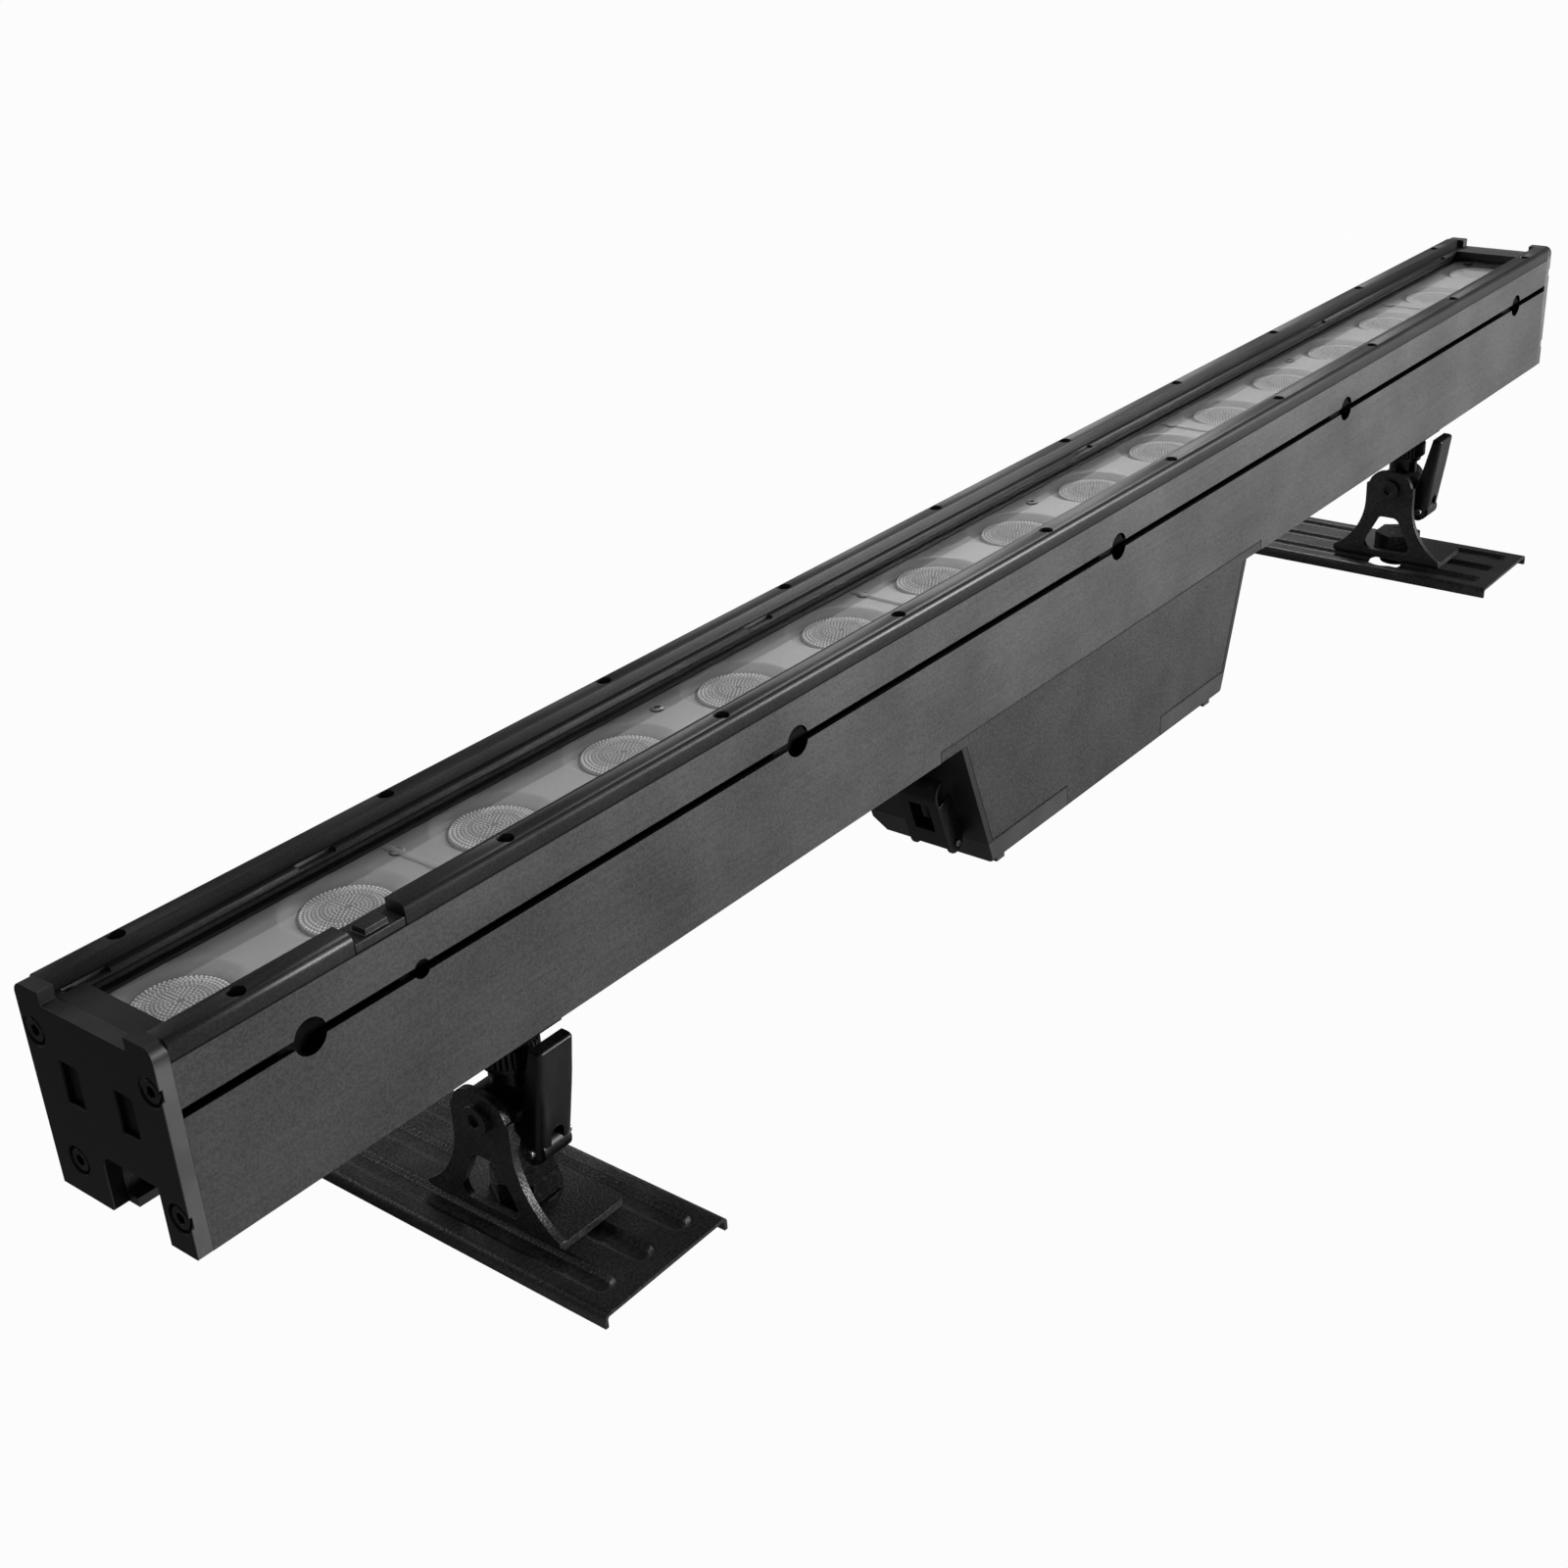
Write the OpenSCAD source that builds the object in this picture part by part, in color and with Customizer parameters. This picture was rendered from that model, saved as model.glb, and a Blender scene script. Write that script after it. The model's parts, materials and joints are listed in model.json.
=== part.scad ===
// Outdoor LED wall washer: a one metre light bar with sixteen lenses, a driver
// box latched under its middle, and two sliding, tilting feet on floor plates.
// Origin: on the floor, in the middle of the floor plates' reach. X runs along the
// bar, the front face looks towards -Y and the light leaves towards +Z.

/* [Bar] */
// Length of the bar over its end caps
bar_length = 1000; // [940:1:1200]
// Width of the bar, front face to back face
bar_width = 63.5; // [62:0.5:72]
// Height of the front face, up to the seam under the glass rails
side_height = 63.3; // [62:0.1:72]
// Thickness of the outer walls around the lens cavity
wall = 4; // [3:0.1:4.5]
// Thickness of the floor between the lens cavity and the mounting channel
floor_web = 3; // [2.5:0.1:4]
// Thickness of each end cap
cap_thickness = 5.4; // [4:0.1:8]

/* [Mounting channel] */
// Distance from the front face to the middle of the channel
channel_y = 25.5; // [25:0.1:26.5]
// Width of the channel inside
channel_width = 27; // [24:0.5:27]
// Height of the channel
channel_height = 20; // [18:0.5:21]
// Width of the channel's mouth between its lips
mouth_width = 17; // [14:0.5:18]
// Thickness of the lips beside the mouth
lip_thickness = 3; // [2.5:0.1:4]

/* [Accessory grooves] */
// Height of the groove's middle on the front and back faces
groove_z = 46.6; // [46:0.1:47.5]
// Width of the groove's opening
groove_opening = 3.2; // [2.5:0.1:4]
// Width of the groove behind its lips
groove_inner = 7; // [6:0.1:8]
// Thickness of the groove's lips
groove_lip = 1.8; // [1.4:0.1:2]
// Depth of the groove behind its lips
groove_depth = 3; // [2:0.1:3.4]
// Diameter of the round entries in the groove
entry_d = 12; // [10:0.5:12.5]
// Distance between the round entries
entry_pitch = 225; // [200:1:230]
// Diameter of the small pilot opening near the left end
pilot_d = 6.5; // [5:0.1:8]
// Distance of the pilot opening from the left end
pilot_x = 93; // [80:1:110]

/* [Glass rails] */
// Half the width of the raised bead along each rail
bead_r = 4.3; // [4:0.1:4.5]
// Height of the bead's top above the seam
bead_height = 6.8; // [6:0.1:8]
// Radius of the bead's rounded outer top edge
nose_r = 2.6; // [2:0.1:3]
// Width of the flat ledge that covers the edge of the glass
ledge_width = 3.4; // [2.5:0.1:4]
// Height of the ledge's top above the seam
ledge_height = 2.4; // [2:0.1:3.5]
// Number of screws in each rail
rail_screw_count = 10; // [6:1:10]
// Distance of the first rail screw from the end of the bar
rail_screw_inset = 32; // [25:1:45]
// Shank diameter of a rail screw
rail_screw_d = 3; // [2.5:0.1:3]
// Diameter of the countersink over a rail screw
rail_screw_sink_d = 5.8; // [5.6:0.1:6.2]
// Length of the gap in the front rail that takes the removable clip
clip_gap = 20; // [16:1:26]
// Distance of the middle of that gap from the left end
clip_x = 80; // [75:1:85]

/* [Glass and lenses] */
// Thickness of the front glass
glass_thickness = 4; // [3:0.1:4.5]
// Thickness of the rubber seal under the glass
seal_thickness = 1; // [0.8:0.1:1.5]
// Length of the dark cover plate over each end of the glass
end_plate_length = 9.6; // [6:0.1:14]
// Diameter of a lens over its rim
lens_d = 31; // [28:0.5:33]
// Height of the domed top of a lens
lens_dome = 2.5; // [1.5:0.1:3]
// Thickness of an LED board
board_thickness = 1.6; // [1:0.1:2]
// Width of an LED board
board_width = 40; // [30:1:44]
// Thickness of the lens tray
tray_thickness = 3; // [2:0.1:4]

/* [Driver box] */
// Length of the box along its top
box_top_length = 244; // [200:1:246]
// Length of the box along its bottom
box_bottom_length = 200; // [170:1:206]
// Depth of the box below the bar
box_depth = 62.5; // [55:0.5:62.5]
// Width of the box from front to back
box_width = 61.5; // [56:0.5:61.5]
// Wall thickness of the box
box_wall = 2.5; // [2:0.1:3.5]
// Height of the box's front flange, let into the front face of the bar
flange_height = 5; // [4:0.1:7]
// Length of that flange
flange_length = 273; // [255:1:290]
// Height of the corner shoes at the bottom of the box
shoe_height = 11; // [8:0.5:16]
// Length of each shoe along the bottom
shoe_length = 58.5; // [40:0.5:80]
// Height of the short ribs under the shoes
rib_height = 3; // [2:0.1:4]
// Size of the bevel along the back bottom edge of the box
back_bevel = 6; // [3:0.5:8]
// Radius of the front bottom edge of the box
front_edge_r = 2.5; // [1.5:0.1:3.5]

/* [Box latches] */
// Width of a latch across its cheeks
latch_width = 20; // [16:0.5:24]
// Length of a latch from its pin to its finger end
latch_length = 34; // [28:1:36]
// Radius of the hook curled over at the top of a latch
latch_hook_r = 7; // [5:0.5:8]
// Thickness of the latch's sheet steel
latch_sheet = 1.5; // [1.2:0.1:1.8]
// Diameter of the latch pin
latch_pin_d = 3; // [2.5:0.1:3.5]

/* [Feet] */
// Distance of the left foot's swivel from the left end of the bar
left_foot_inset = 143; // [120:1:180]
// Distance of the right foot's swivel from the right end of the bar
right_foot_inset = 134; // [120:1:180]
// Length of a floor plate
plate_length = 160; // [145:1:200]
// Width of a floor plate
plate_width = 61.5; // [58:0.5:70]
// Distance of the swivel in front of the plate's middle
plate_shift = 15; // [5:1:20]
// Outer radius of the bends along the plate's long edges
plate_bend_r = 2.5; // [2.2:0.1:3]
// Thickness of the floor plate's sheet steel
plate_sheet = 1.5; // [1.2:0.1:2]
// Height of the floor plate's top over the floor
plate_height = 5.5; // [5:0.1:8]
// Radius of the tools that press the grooves into the plate
press_r = 6.8; // [6:0.1:7.5]
// Depth of a pressed groove
press_depth = 1.8; // [1.2:0.1:2]
// Distance between the three grooves
press_pitch = 19; // [17:0.5:20]
// Distance from a groove's end to the plate's end
press_inset = 7.5; // [6:0.5:12]
// Diameter of the fixing hole in the right plate
fixing_d = 19; // [12:0.5:19]
// Distance from the swivel to the fixing hole
fixing_offset = 16; // [15.5:0.5:17]

/* [Tilt bracket] */
// Height of the tilt axis over the underside of the bracket
pivot_height = 42.7; // [38:0.1:46]
// Width of the bracket's base
bracket_width = 64; // [60:0.5:70]
// Width of the bracket's rounded head
head_width = 28; // [25:0.5:30]
// Height of the head above the tilt axis
head_rise = 10; // [9:0.1:12]
// Thickness of the bracket's steel
bracket_sheet = 3; // [2:0.1:4]
// Length of the bracket's base flange along the bar
flange_reach = 33; // [30:0.5:36]
// Diameter of the tilt bolt
tilt_bolt_d = 6; // [5:0.1:7]
// Diameter of the swivel bolt
swivel_bolt_d = 10; // [8:0.1:12]
// Width across flats of the swivel nut
nut_flats = 22; // [18:0.5:24]
// Height of the swivel nut
nut_height = 8; // [6:0.5:8]

/* [Clamp] */
// Distance from the tilt axis to the underside of the bar
pivot_drop = 38.5; // [38:0.1:44]
// Width of the clamp's block under the bar, along the bar
clamp_block = 25; // [20:0.5:26]
// Depth of that block from front to back
clamp_block_depth = 30; // [26:0.5:32]
// Height of that block's boss and of its turned-down front
clamp_block_height = 9.5; // [8:0.1:10]
// Thickness of the block's plate and of its turned-down front
clamp_sheet = 3; // [2:0.1:4]
// Diameter of the threaded stud
stud_d = 8; // [6:0.1:9]
// Diameter of the knurled wheel
wheel_d = 23; // [20:0.5:24]
// Height of the knurled wheel
wheel_height = 8; // [6:0.1:8.5]
// Number of grip grooves around the wheel
wheel_grooves = 36; // [24:1:48]
// Radius of the hinge barrel
barrel_r = 10; // [9:0.1:10.5]
// Length of the hinge barrel
barrel_length = 22; // [18:0.5:24]

/* [Lock lever] */
// Width of the lever across its cheeks
lever_width = 16.5; // [14:0.5:18]
// Thickness of the lever's sheet steel
lever_sheet = 1.5; // [1.2:0.1:2]
// Diameter of the lever's pin
lever_pin_d = 4; // [3:0.1:4.5]
// Lean of the lever's web from upright, in degrees
lever_lean = 7.5; // [4:0.5:9]

/* [Hidden] */

// Smoothness of round shapes
$fn = 64;
// Overrun that cuts clear of a face
over = 1;
// Gap between pieces that slide or turn past each other
run_gap = 0.3;
// Gap on the radius between a pin and the bore it turns in
pin_gap = 0.05;
// Gap on the radius around a screw in its hole
screw_gap = 0.1;
// Seam between the shoes and the box
seam = 0.2;
// Depth of a screw's hexagon socket as a share of its head
socket_share = 0.6;

// Places of the bar and the feet
foot_y = -plate_shift;
left_foot_x = left_foot_inset - bar_length / 2;
right_foot_x = bar_length / 2 - right_foot_inset;
bracket_z = plate_height + run_gap;
pivot_z = bracket_z + pivot_height;
bar_z = pivot_z + pivot_drop;
bar_y = foot_y - channel_y;
inner_length = bar_length - 2 * cap_thickness;

// Levels and edges inside the bar
channel_front = channel_y - channel_width / 2;
channel_back = channel_y + channel_width / 2;
cavity_floor = channel_height + floor_web;
bead_width = 2 * bead_r;
ledge_edge = bead_width + ledge_width;
glass_sink = 2.1;
glass_top = side_height - glass_sink;
glass_bottom = glass_top - glass_thickness;
seat_z = glass_bottom - seal_thickness;
shelf_thickness = 2.7;
cavity_top = seat_z - shelf_thickness;
pocket_play = 0.2;
glass_margin = bead_width + pocket_play;
boss_wall = 2.2;
boss_side = 3;
boss_depth = groove_lip + groove_depth + boss_wall;
boss_half = groove_inner / 2 + boss_side;
leg_wall = 3;
leg_roof = 1;
leg_top = channel_height - leg_roof;

// End caps
port_r = 3.6;
port_web = 2.5;
cap_screw_d = 4;
cap_head_d = 7.6;
cap_head_height = 3;
cap_head_sink = 0.3;
cap_sink_d = 10;
cap_sink_depth = 1.2;
cap_screw_length = 16;
port_front_y = 4.6;
port_back_inset = 5.4;
port_low_offset = 12.5;
port_low_z = 12.5;
port_high_drop = 8.3;
port_high_z = side_height - port_high_drop;
cap_ports = [[port_front_y, port_low_z], [channel_back + port_low_offset, port_low_z],
             [port_front_y, port_high_z], [bar_width - port_back_inset, port_high_z]];
port_reach = max(port_front_y, port_back_inset) + port_r;
cap_corner = 4;
cap_slot = [8.5, 14.5];
cap_slot_depth = 1.5;
cap_slot_z = 41.5;
cap_slot_y = 19;
cap_notch_corner = 5;

// Rails
rail_pitch = (bar_length - 2 * rail_screw_inset) / (rail_screw_count - 1);
rail_screw_length = 12;
rail_head_height = 2.6;
rail_head_d = rail_screw_sink_d - 2 * run_gap;
rail_sink_depth = 5;
ledge_notch = 15;
ledge_notch_share = 0.7;
ledge_notch_shares = [-0.484, -0.4, -0.181, 0.056, 0.3, 0.46];
clip_tab = [9, 6, 2.2];
clip_body_height = 3.2;

// Lenses, boards and tray
board_count = 4;
lenses_per_board = 4;
lens_count = board_count * lenses_per_board;
lens_pitch = bar_length / lens_count;
board_margin = 1;
board_length = lenses_per_board * lens_pitch - 2 * (cap_thickness + board_margin);
lens_base_r = 8;
lens_rim = 2.4;
tray_top = cavity_top - run_gap;
lens_top = tray_top - tray_thickness;
lens_z = cavity_floor + board_thickness;
emitter_r = 4.5;
emitter_height = 2.4;
emitter_play = 0.8;
dish_flare = 2.2;
tray_screw_r = 1.5;
tray_screw_head_r = 2.8;
tray_screw_head = 1.6;
tray_screw_y = 44;
tray_screw_share = 0.24;
tray_ridge = [3, 1.4];

// Driver box
box_half_top = box_top_length / 2;
box_half_bottom = box_bottom_length / 2;
box_slope = atan((box_half_top - box_half_bottom) / box_depth);
box_end_plate = 3;
rib_length = 6;
rib_inset = 6;
driver_pcb = [150, 44, 1.6];
driver_pcb_lift = 6;
driver_post_r = 3;
driver_post_shares = [0.45, 0.4];
choke_size = [34, 30, 24];
choke_share = -0.41;
can_r = 9;
can_height = 30;
can_count = 3;
can_pitch = 22;
can_share = -0.09;
heat_block = [24, 34, 18];
heat_share = 0.31;
socket_y = 42;
socket_drop = 24;
socket_r = 8;
socket_bore_r = 5.6;
socket_flange = 3;
socket_tail = 9;
socket_wall = 1;
socket_floor = 2;

// Box latches, drawn with their pin at the origin and their length upwards
latch_y = 21;
latch_pin_drop = 48;
latch_stand = 7;
latch_cheek_r = 5;
latch_cheek_share = 0.7;
latch_slot = [10, 15];
latch_slot_share = 0.26;
latch_tab = 5;
lug_thickness = 3;
lug_r = latch_cheek_r - latch_sheet - run_gap;

// Feet
swivel_head_r = 9;
swivel_head_height = 1.6;
swivel_head_gap = 0.2;
washer_r = 13;
washer_height = 1.5;
bracket_corner = 4;
bracket_x = -flange_reach / 2;
flank_r = 35.5;
flank_drop = 8;
window_top_half = 5;
window_bottom_half = 11.5;
window_corner = 4;
window_drop = 17;
window_sill = 5;
head_corner = 9.5;
shoulder = 1.2;
shoulder_rise = 2;
tilt_head_r = 5.6;
tilt_head_height = 2.6;
tilt_socket_d = 5.5;
tilt_nut_d = 11.5;
tilt_nut_height = 4;

// Clamp
slider_length = 24;
slider_height = 5;
slider_width = channel_width - 2 * run_gap;
wheel_drop = 14;
hub_r = 7;
boss_r = 9;
neck_r = 7.6;
collar_r = 9.4;
collar_height = 2;
hinge_neck_top = pivot_drop - wheel_drop - wheel_height - run_gap;
knurl_r = 0.7;
lever_eye_r = 5;
lever_eye = [-14.5, -13.5];
lever_arm_share = 1.2;
lever_eye_width = lever_width - 2 * lever_sheet - 2 * run_gap;

// Lock lever, with its pin at the origin
lever_top = 43;
lever_web_bottom = 8.5;
lever_front = 4.5;
lever_foot_r = 5.5;
lever_top_depth = 5;
lever_hook = 7;
lever_arch_r = 4;

// Bar's own frame: Y from the front face, Z from the underside
module on_bar() {
    translate([0, bar_y, bar_z]) children();
}

// Extrudes an outline drawn as (Y, Z) along X, centred
module along_x(length) {
    rotate([90, 0, 90]) linear_extrude(length, center = true) children();
}

// Extrudes an outline drawn as (X, Z) from y = start to y = end
module along_y(start, end) {
    translate([0, end, 0]) rotate([90, 0, 0]) linear_extrude(end - start) children();
}

// Round bar along X, centred
module rod_x(r, length) {
    rotate([0, 90, 0]) cylinder(r = r, h = length, center = true);
}

// Round bar from x = start to x = end
module span_x(r, start, end) {
    translate([start, 0, 0]) rotate([0, 90, 0]) cylinder(r = r, h = end - start);
}

// Flips a shape drawn at the front of the bar to its back
module at_back() {
    translate([0, bar_width, 0]) mirror([0, 1, 0]) children();
}

// Flips a shape drawn at the left end to the right end
module at_right() {
    mirror([1, 0, 0]) children();
}

module both_ends() {
    children();
    at_right() children();
}

// Outline with its two upper corners rounded, standing on y = 0
module round_topped(width, height, r) {
    translate([-width / 2, 0]) square([width, height - r]);
    translate([r - width / 2, 0]) square([width - 2 * r, height]);
    difference() {
        for (side = [-1, 1]) translate([side * (width / 2 - r), height - r]) circle(r);
        translate([-width, -2 * r]) square([2 * width, 2 * r]);
    }
}

// Outline of the extruded housing, as (Y, Z)
module housing_section() {
    difference() {
        union() {
            difference() {
                square([bar_width, side_height]);
                translate([wall, cavity_floor])
                    square([bar_width - 2 * wall, cavity_top - cavity_floor]);
                translate([ledge_edge, cavity_floor])
                    square([bar_width - 2 * ledge_edge, side_height]);
                translate([glass_margin, seat_z])
                    square([bar_width - 2 * glass_margin, side_height]);
                translate([leg_wall, leg_wall])
                    square([channel_front - 2 * leg_wall, leg_top - leg_wall]);
                translate([channel_back + leg_wall, leg_wall])
                    square([bar_width - channel_back - 2 * leg_wall, leg_top - leg_wall]);
            }
            for (y = [0, bar_width - boss_depth]) translate([y, groove_z - boss_half])
                square([boss_depth, 2 * boss_half]);
            for (p = cap_ports) translate(p) circle(port_r);
            // Webs that carry the two low screw ports
            for (y = [port_front_y, channel_back + port_low_offset])
                translate([y - port_web / 2, leg_wall / 2])
                    square([port_web, port_low_z - leg_wall / 2]);
        }
        for (p = cap_ports) translate(p) circle(cap_screw_d / 2 + screw_gap);
        translate([channel_front, lip_thickness])
            square([channel_width, channel_height - lip_thickness]);
        translate([channel_y - mouth_width / 2, -over])
            square([mouth_width, channel_height]);
        groove_section();
        translate([bar_width, 0]) mirror([1, 0]) groove_section();
    }
}

module groove_section() {
    translate([-over, groove_z - groove_opening / 2])
        square([over + groove_lip + groove_depth / 2, groove_opening]);
    translate([groove_lip, groove_z - groove_inner / 2])
        square([groove_depth, groove_inner]);
}

// Round entries where accessory nuts drop into a groove
module groove_entries() {
    for (i = [-2:2]) groove_entry(i * entry_pitch, entry_d);
    groove_entry(pilot_x - bar_length / 2, pilot_d);
}

module groove_entry(x, d) {
    translate([x, -over, groove_z]) rotate([-90, 0, 0])
        cylinder(d = d, h = over + groove_lip + groove_depth);
}

module rail_screw_places() {
    for (i = [0:rail_screw_count - 1])
        translate([i * rail_pitch + rail_screw_inset - bar_length / 2, bead_r, side_height])
            children();
}

module rail_bores() {
    rail_screw_places() translate([0, 0, -rail_screw_length])
        cylinder(d = rail_screw_d + 2 * screw_gap, h = rail_screw_length + over);
}

// Extruded body of the bar
module housing() {
    color("#3b3b3d") on_bar() difference() {
        along_x(inner_length) housing_section();
        groove_entries();
        at_back() groove_entries();
        rail_bores();
        at_back() rail_bores();
        // Relief for the driver box's front flange
        translate([-flange_length / 2 - seam, -over, -over])
            cube([flange_length + 2 * seam, over + box_wall + seam, over + flange_height + seam]);
    }
}

// Outline of a glass rail, as (Y, Z) from the seam
module rail_section() {
    ledge_bottom = glass_top + run_gap - side_height;
    ledge_start = glass_margin + run_gap;
    square([bead_width, bead_height - nose_r]);
    translate([nose_r, 0]) square([bead_width - nose_r, bead_height]);
    translate([nose_r, bead_height - nose_r]) circle(nose_r);
    translate([bead_r, 0]) square([bead_r + ledge_width, ledge_height]);
    translate([ledge_start, ledge_bottom])
        square([ledge_edge - ledge_start, ledge_height - ledge_bottom]);
}

module rail() {
    difference() {
        translate([0, 0, side_height]) along_x(inner_length) rail_section();
        rail_screw_places() {
            translate([0, 0, -over])
                cylinder(d = rail_screw_d + 2 * screw_gap, h = bead_height + 2 * over);
            translate([0, 0, bead_height - rail_sink_depth])
                cylinder(d = rail_screw_sink_d, h = rail_sink_depth + over);
        }
    }
}

module front_rail() {
    color("#1b1b1c") on_bar() difference() {
        rail();
        translate([clip_x - (bar_length + clip_gap) / 2, -over, side_height - over])
            cube([clip_gap, over + bead_width, bead_height + 2 * over]);
    }
}

module back_rail() {
    color("#1b1b1c") on_bar() difference() {
        at_back() rail();
        for (share = ledge_notch_shares)
            translate([share * bar_length - ledge_notch / 2, bar_width - ledge_edge - over,
                       side_height + ledge_height / 2])
                cube([ledge_notch, over + ledge_width * ledge_notch_share, ledge_height]);
    }
}

// Removable clip that fills the gap in the front rail
module rail_clip() {
    clip_length = clip_gap - 2 * run_gap;
    color("#161617") on_bar() translate([clip_x - bar_length / 2, 0, side_height]) {
        translate([-clip_length / 2, 0, 0]) cube([clip_length, bead_width, clip_body_height]);
        translate([-clip_tab[0] / 2, (bead_width - clip_tab[1]) / 2, 0])
            cube([clip_tab[0], clip_tab[1], clip_body_height + clip_tab[2]]);
    }
}

// Outline of an end cap, as (Y, Z)
module cap_outline() {
    difference() {
        translate([bar_width / 2, 0])
            round_topped(bar_width, side_height + bead_height, cap_corner);
        translate([ledge_edge, side_height + ledge_height])
            square([bar_width - 2 * ledge_edge, bead_height]);
        // Mouth of the mounting channel, with one rounded corner
        translate([channel_front, -over])
            square([channel_width, channel_height + over - cap_notch_corner]);
        translate([channel_front, -over])
            square([channel_width - cap_notch_corner, channel_height + over]);
        translate([channel_back - cap_notch_corner, channel_height - cap_notch_corner])
            circle(cap_notch_corner);
    }
}

module end_cap() {
    color("#101011") on_bar() translate([-bar_length / 2, 0, 0]) difference() {
        translate([cap_thickness / 2, 0, 0]) along_x(cap_thickness) cap_outline();
        for (p = cap_ports) translate([0, p[0], p[1]]) {
            span_x(cap_screw_d / 2 + screw_gap, -over, cap_thickness + over);
            span_x(cap_sink_d / 2, -over, cap_sink_depth);
            span_x(cap_head_d / 2 + screw_gap, -over, cap_head_sink + cap_head_height);
        }
        for (y = [cap_slot_y, bar_width - cap_slot_y])
            translate([-over, y - cap_slot[0] / 2, cap_slot_z - cap_slot[1] / 2])
                cube([over + cap_slot_depth, cap_slot[0], cap_slot[1]]);
    }
}

module end_cap_left() {
    end_cap();
}

module end_cap_right() {
    at_right() end_cap();
}

// Screw pointing to +X, with the seat of its socket head at x = 0
module socket_screw(d, head_d, head, length) {
    difference() {
        union() {
            span_x(d / 2, 0, length);
            span_x(head_d / 2, -head, 0);
        }
        translate([-head - over, 0, 0]) rotate([0, 90, 0])
            cylinder(d = d, h = over + head * socket_share, $fn = 6);
    }
}

module end_cap_screws() {
    seat_x = cap_head_sink + cap_head_height - bar_length / 2;
    color("#2a2a2b") on_bar() both_ends() for (p = cap_ports) translate([seat_x, p[0], p[1]])
        socket_screw(cap_screw_d, cap_head_d, cap_head_height, cap_screw_length);
}

module rail_screw_set() {
    rail_screw_places() translate([0, 0, bead_height - rail_sink_depth]) rotate([0, 90, 0])
        socket_screw(rail_screw_d, rail_head_d, rail_head_height, rail_screw_length);
}

module rail_screws() {
    color("#2a2a2b") on_bar() {
        rail_screw_set();
        at_back() rail_screw_set();
    }
}

module glass() {
    margin = glass_margin + run_gap;
    length = inner_length - 2 * run_gap;
    color([0.75, 0.8, 0.82, 0.35]) on_bar() translate([-length / 2, margin, glass_bottom])
        cube([length, bar_width - 2 * margin, glass_thickness]);
}

module glass_seal() {
    margin = glass_margin + run_gap;
    length = inner_length - 2 * run_gap;
    strip = ledge_edge - margin;
    color("#141414") on_bar() translate([-length / 2, margin, seat_z]) difference() {
        cube([length, bar_width - 2 * margin, seal_thickness]);
        translate([strip, strip, -over])
            cube([length - 2 * strip, bar_width - 2 * ledge_edge, seal_thickness + 2 * over]);
    }
}

// Dark plates over the two ends of the glass
module glass_end_plates() {
    height = side_height + ledge_height - glass_top;
    color("#141415") on_bar() both_ends() translate([-inner_length / 2, ledge_edge, glass_top])
        cube([end_plate_length, bar_width - 2 * ledge_edge, height]);
}

// Places of the lenses from number "first" on
module lens_places(first = 0, count = lens_count) {
    for (i = [first:first + count - 1])
        translate([(i - (lens_count - 1) / 2) * lens_pitch, bar_width / 2, 0]) children();
}

module tray_screw_places() {
    last = lens_count / 4 - 1;
    for (i = [-last:last]) translate([i * 2 * lens_pitch, tray_screw_y, 0]) children();
    for (side = [-1, 1])
        translate([side * (bar_length / 2 - lens_pitch * tray_screw_share), tray_screw_y, 0])
            children();
}

// Pale tray that holds the lenses in flared dishes
module lens_tray() {
    width = bar_width - 2 * (max(boss_depth, port_reach) + run_gap);
    length = inner_length - 2 * run_gap;
    inner_r = lens_d / 2 + run_gap;
    color("#a9aaac") on_bar() difference() {
        union() {
            translate([-length / 2, (bar_width - width) / 2, lens_top])
                cube([length, width, tray_thickness]);
            // Low ridges across the tray, between pairs of lenses
            for (i = [-3:2:3])
                translate([i * 2 * lens_pitch - tray_ridge[0] / 2, ledge_edge, lens_top])
                    cube([tray_ridge[0], bar_width - 2 * ledge_edge, tray_thickness + tray_ridge[1]]);
        }
        lens_places() translate([0, 0, lens_top - over])
            cylinder(r1 = inner_r, r2 = inner_r + dish_flare, h = tray_thickness + 2 * over);
        tray_screw_places() translate([0, 0, lens_top - over])
            cylinder(r = tray_screw_r + screw_gap, h = tray_thickness + over);
        tray_screw_places() translate([0, 0, tray_top])
            cylinder(r = tray_screw_head_r + screw_gap, h = tray_ridge[1] + over);
    }
}

module tray_screws() {
    color("#77787a") on_bar() tray_screw_places() {
        translate([0, 0, tray_top]) cylinder(r = tray_screw_head_r, h = tray_screw_head);
        translate([0, 0, cavity_floor]) cylinder(r = tray_screw_r, h = tray_top - cavity_floor);
    }
}

// One collimating lens, standing on its LED board
module lens() {
    rim_z = lens_top - lens_rim;
    dome_r = (pow(lens_d / 2, 2) + pow(lens_dome, 2)) / (2 * lens_dome);
    difference() {
        union() {
            translate([0, 0, lens_z])
                cylinder(r1 = lens_base_r, r2 = lens_d / 2, h = rim_z - lens_z);
            translate([0, 0, rim_z]) cylinder(d = lens_d, h = lens_rim);
            intersection() {
                translate([0, 0, lens_top + lens_dome - dome_r]) sphere(dome_r);
                translate([0, 0, rim_z]) cylinder(d = lens_d, h = lens_rim + lens_dome);
            }
        }
        translate([0, 0, lens_z - over])
            cylinder(r = emitter_r + emitter_play, h = emitter_height + 2 * over);
    }
}

module lens_group(i) {
    color([0.85, 0.87, 0.88, 0.6]) on_bar()
        lens_places(i * lenses_per_board, lenses_per_board) lens();
}

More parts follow.
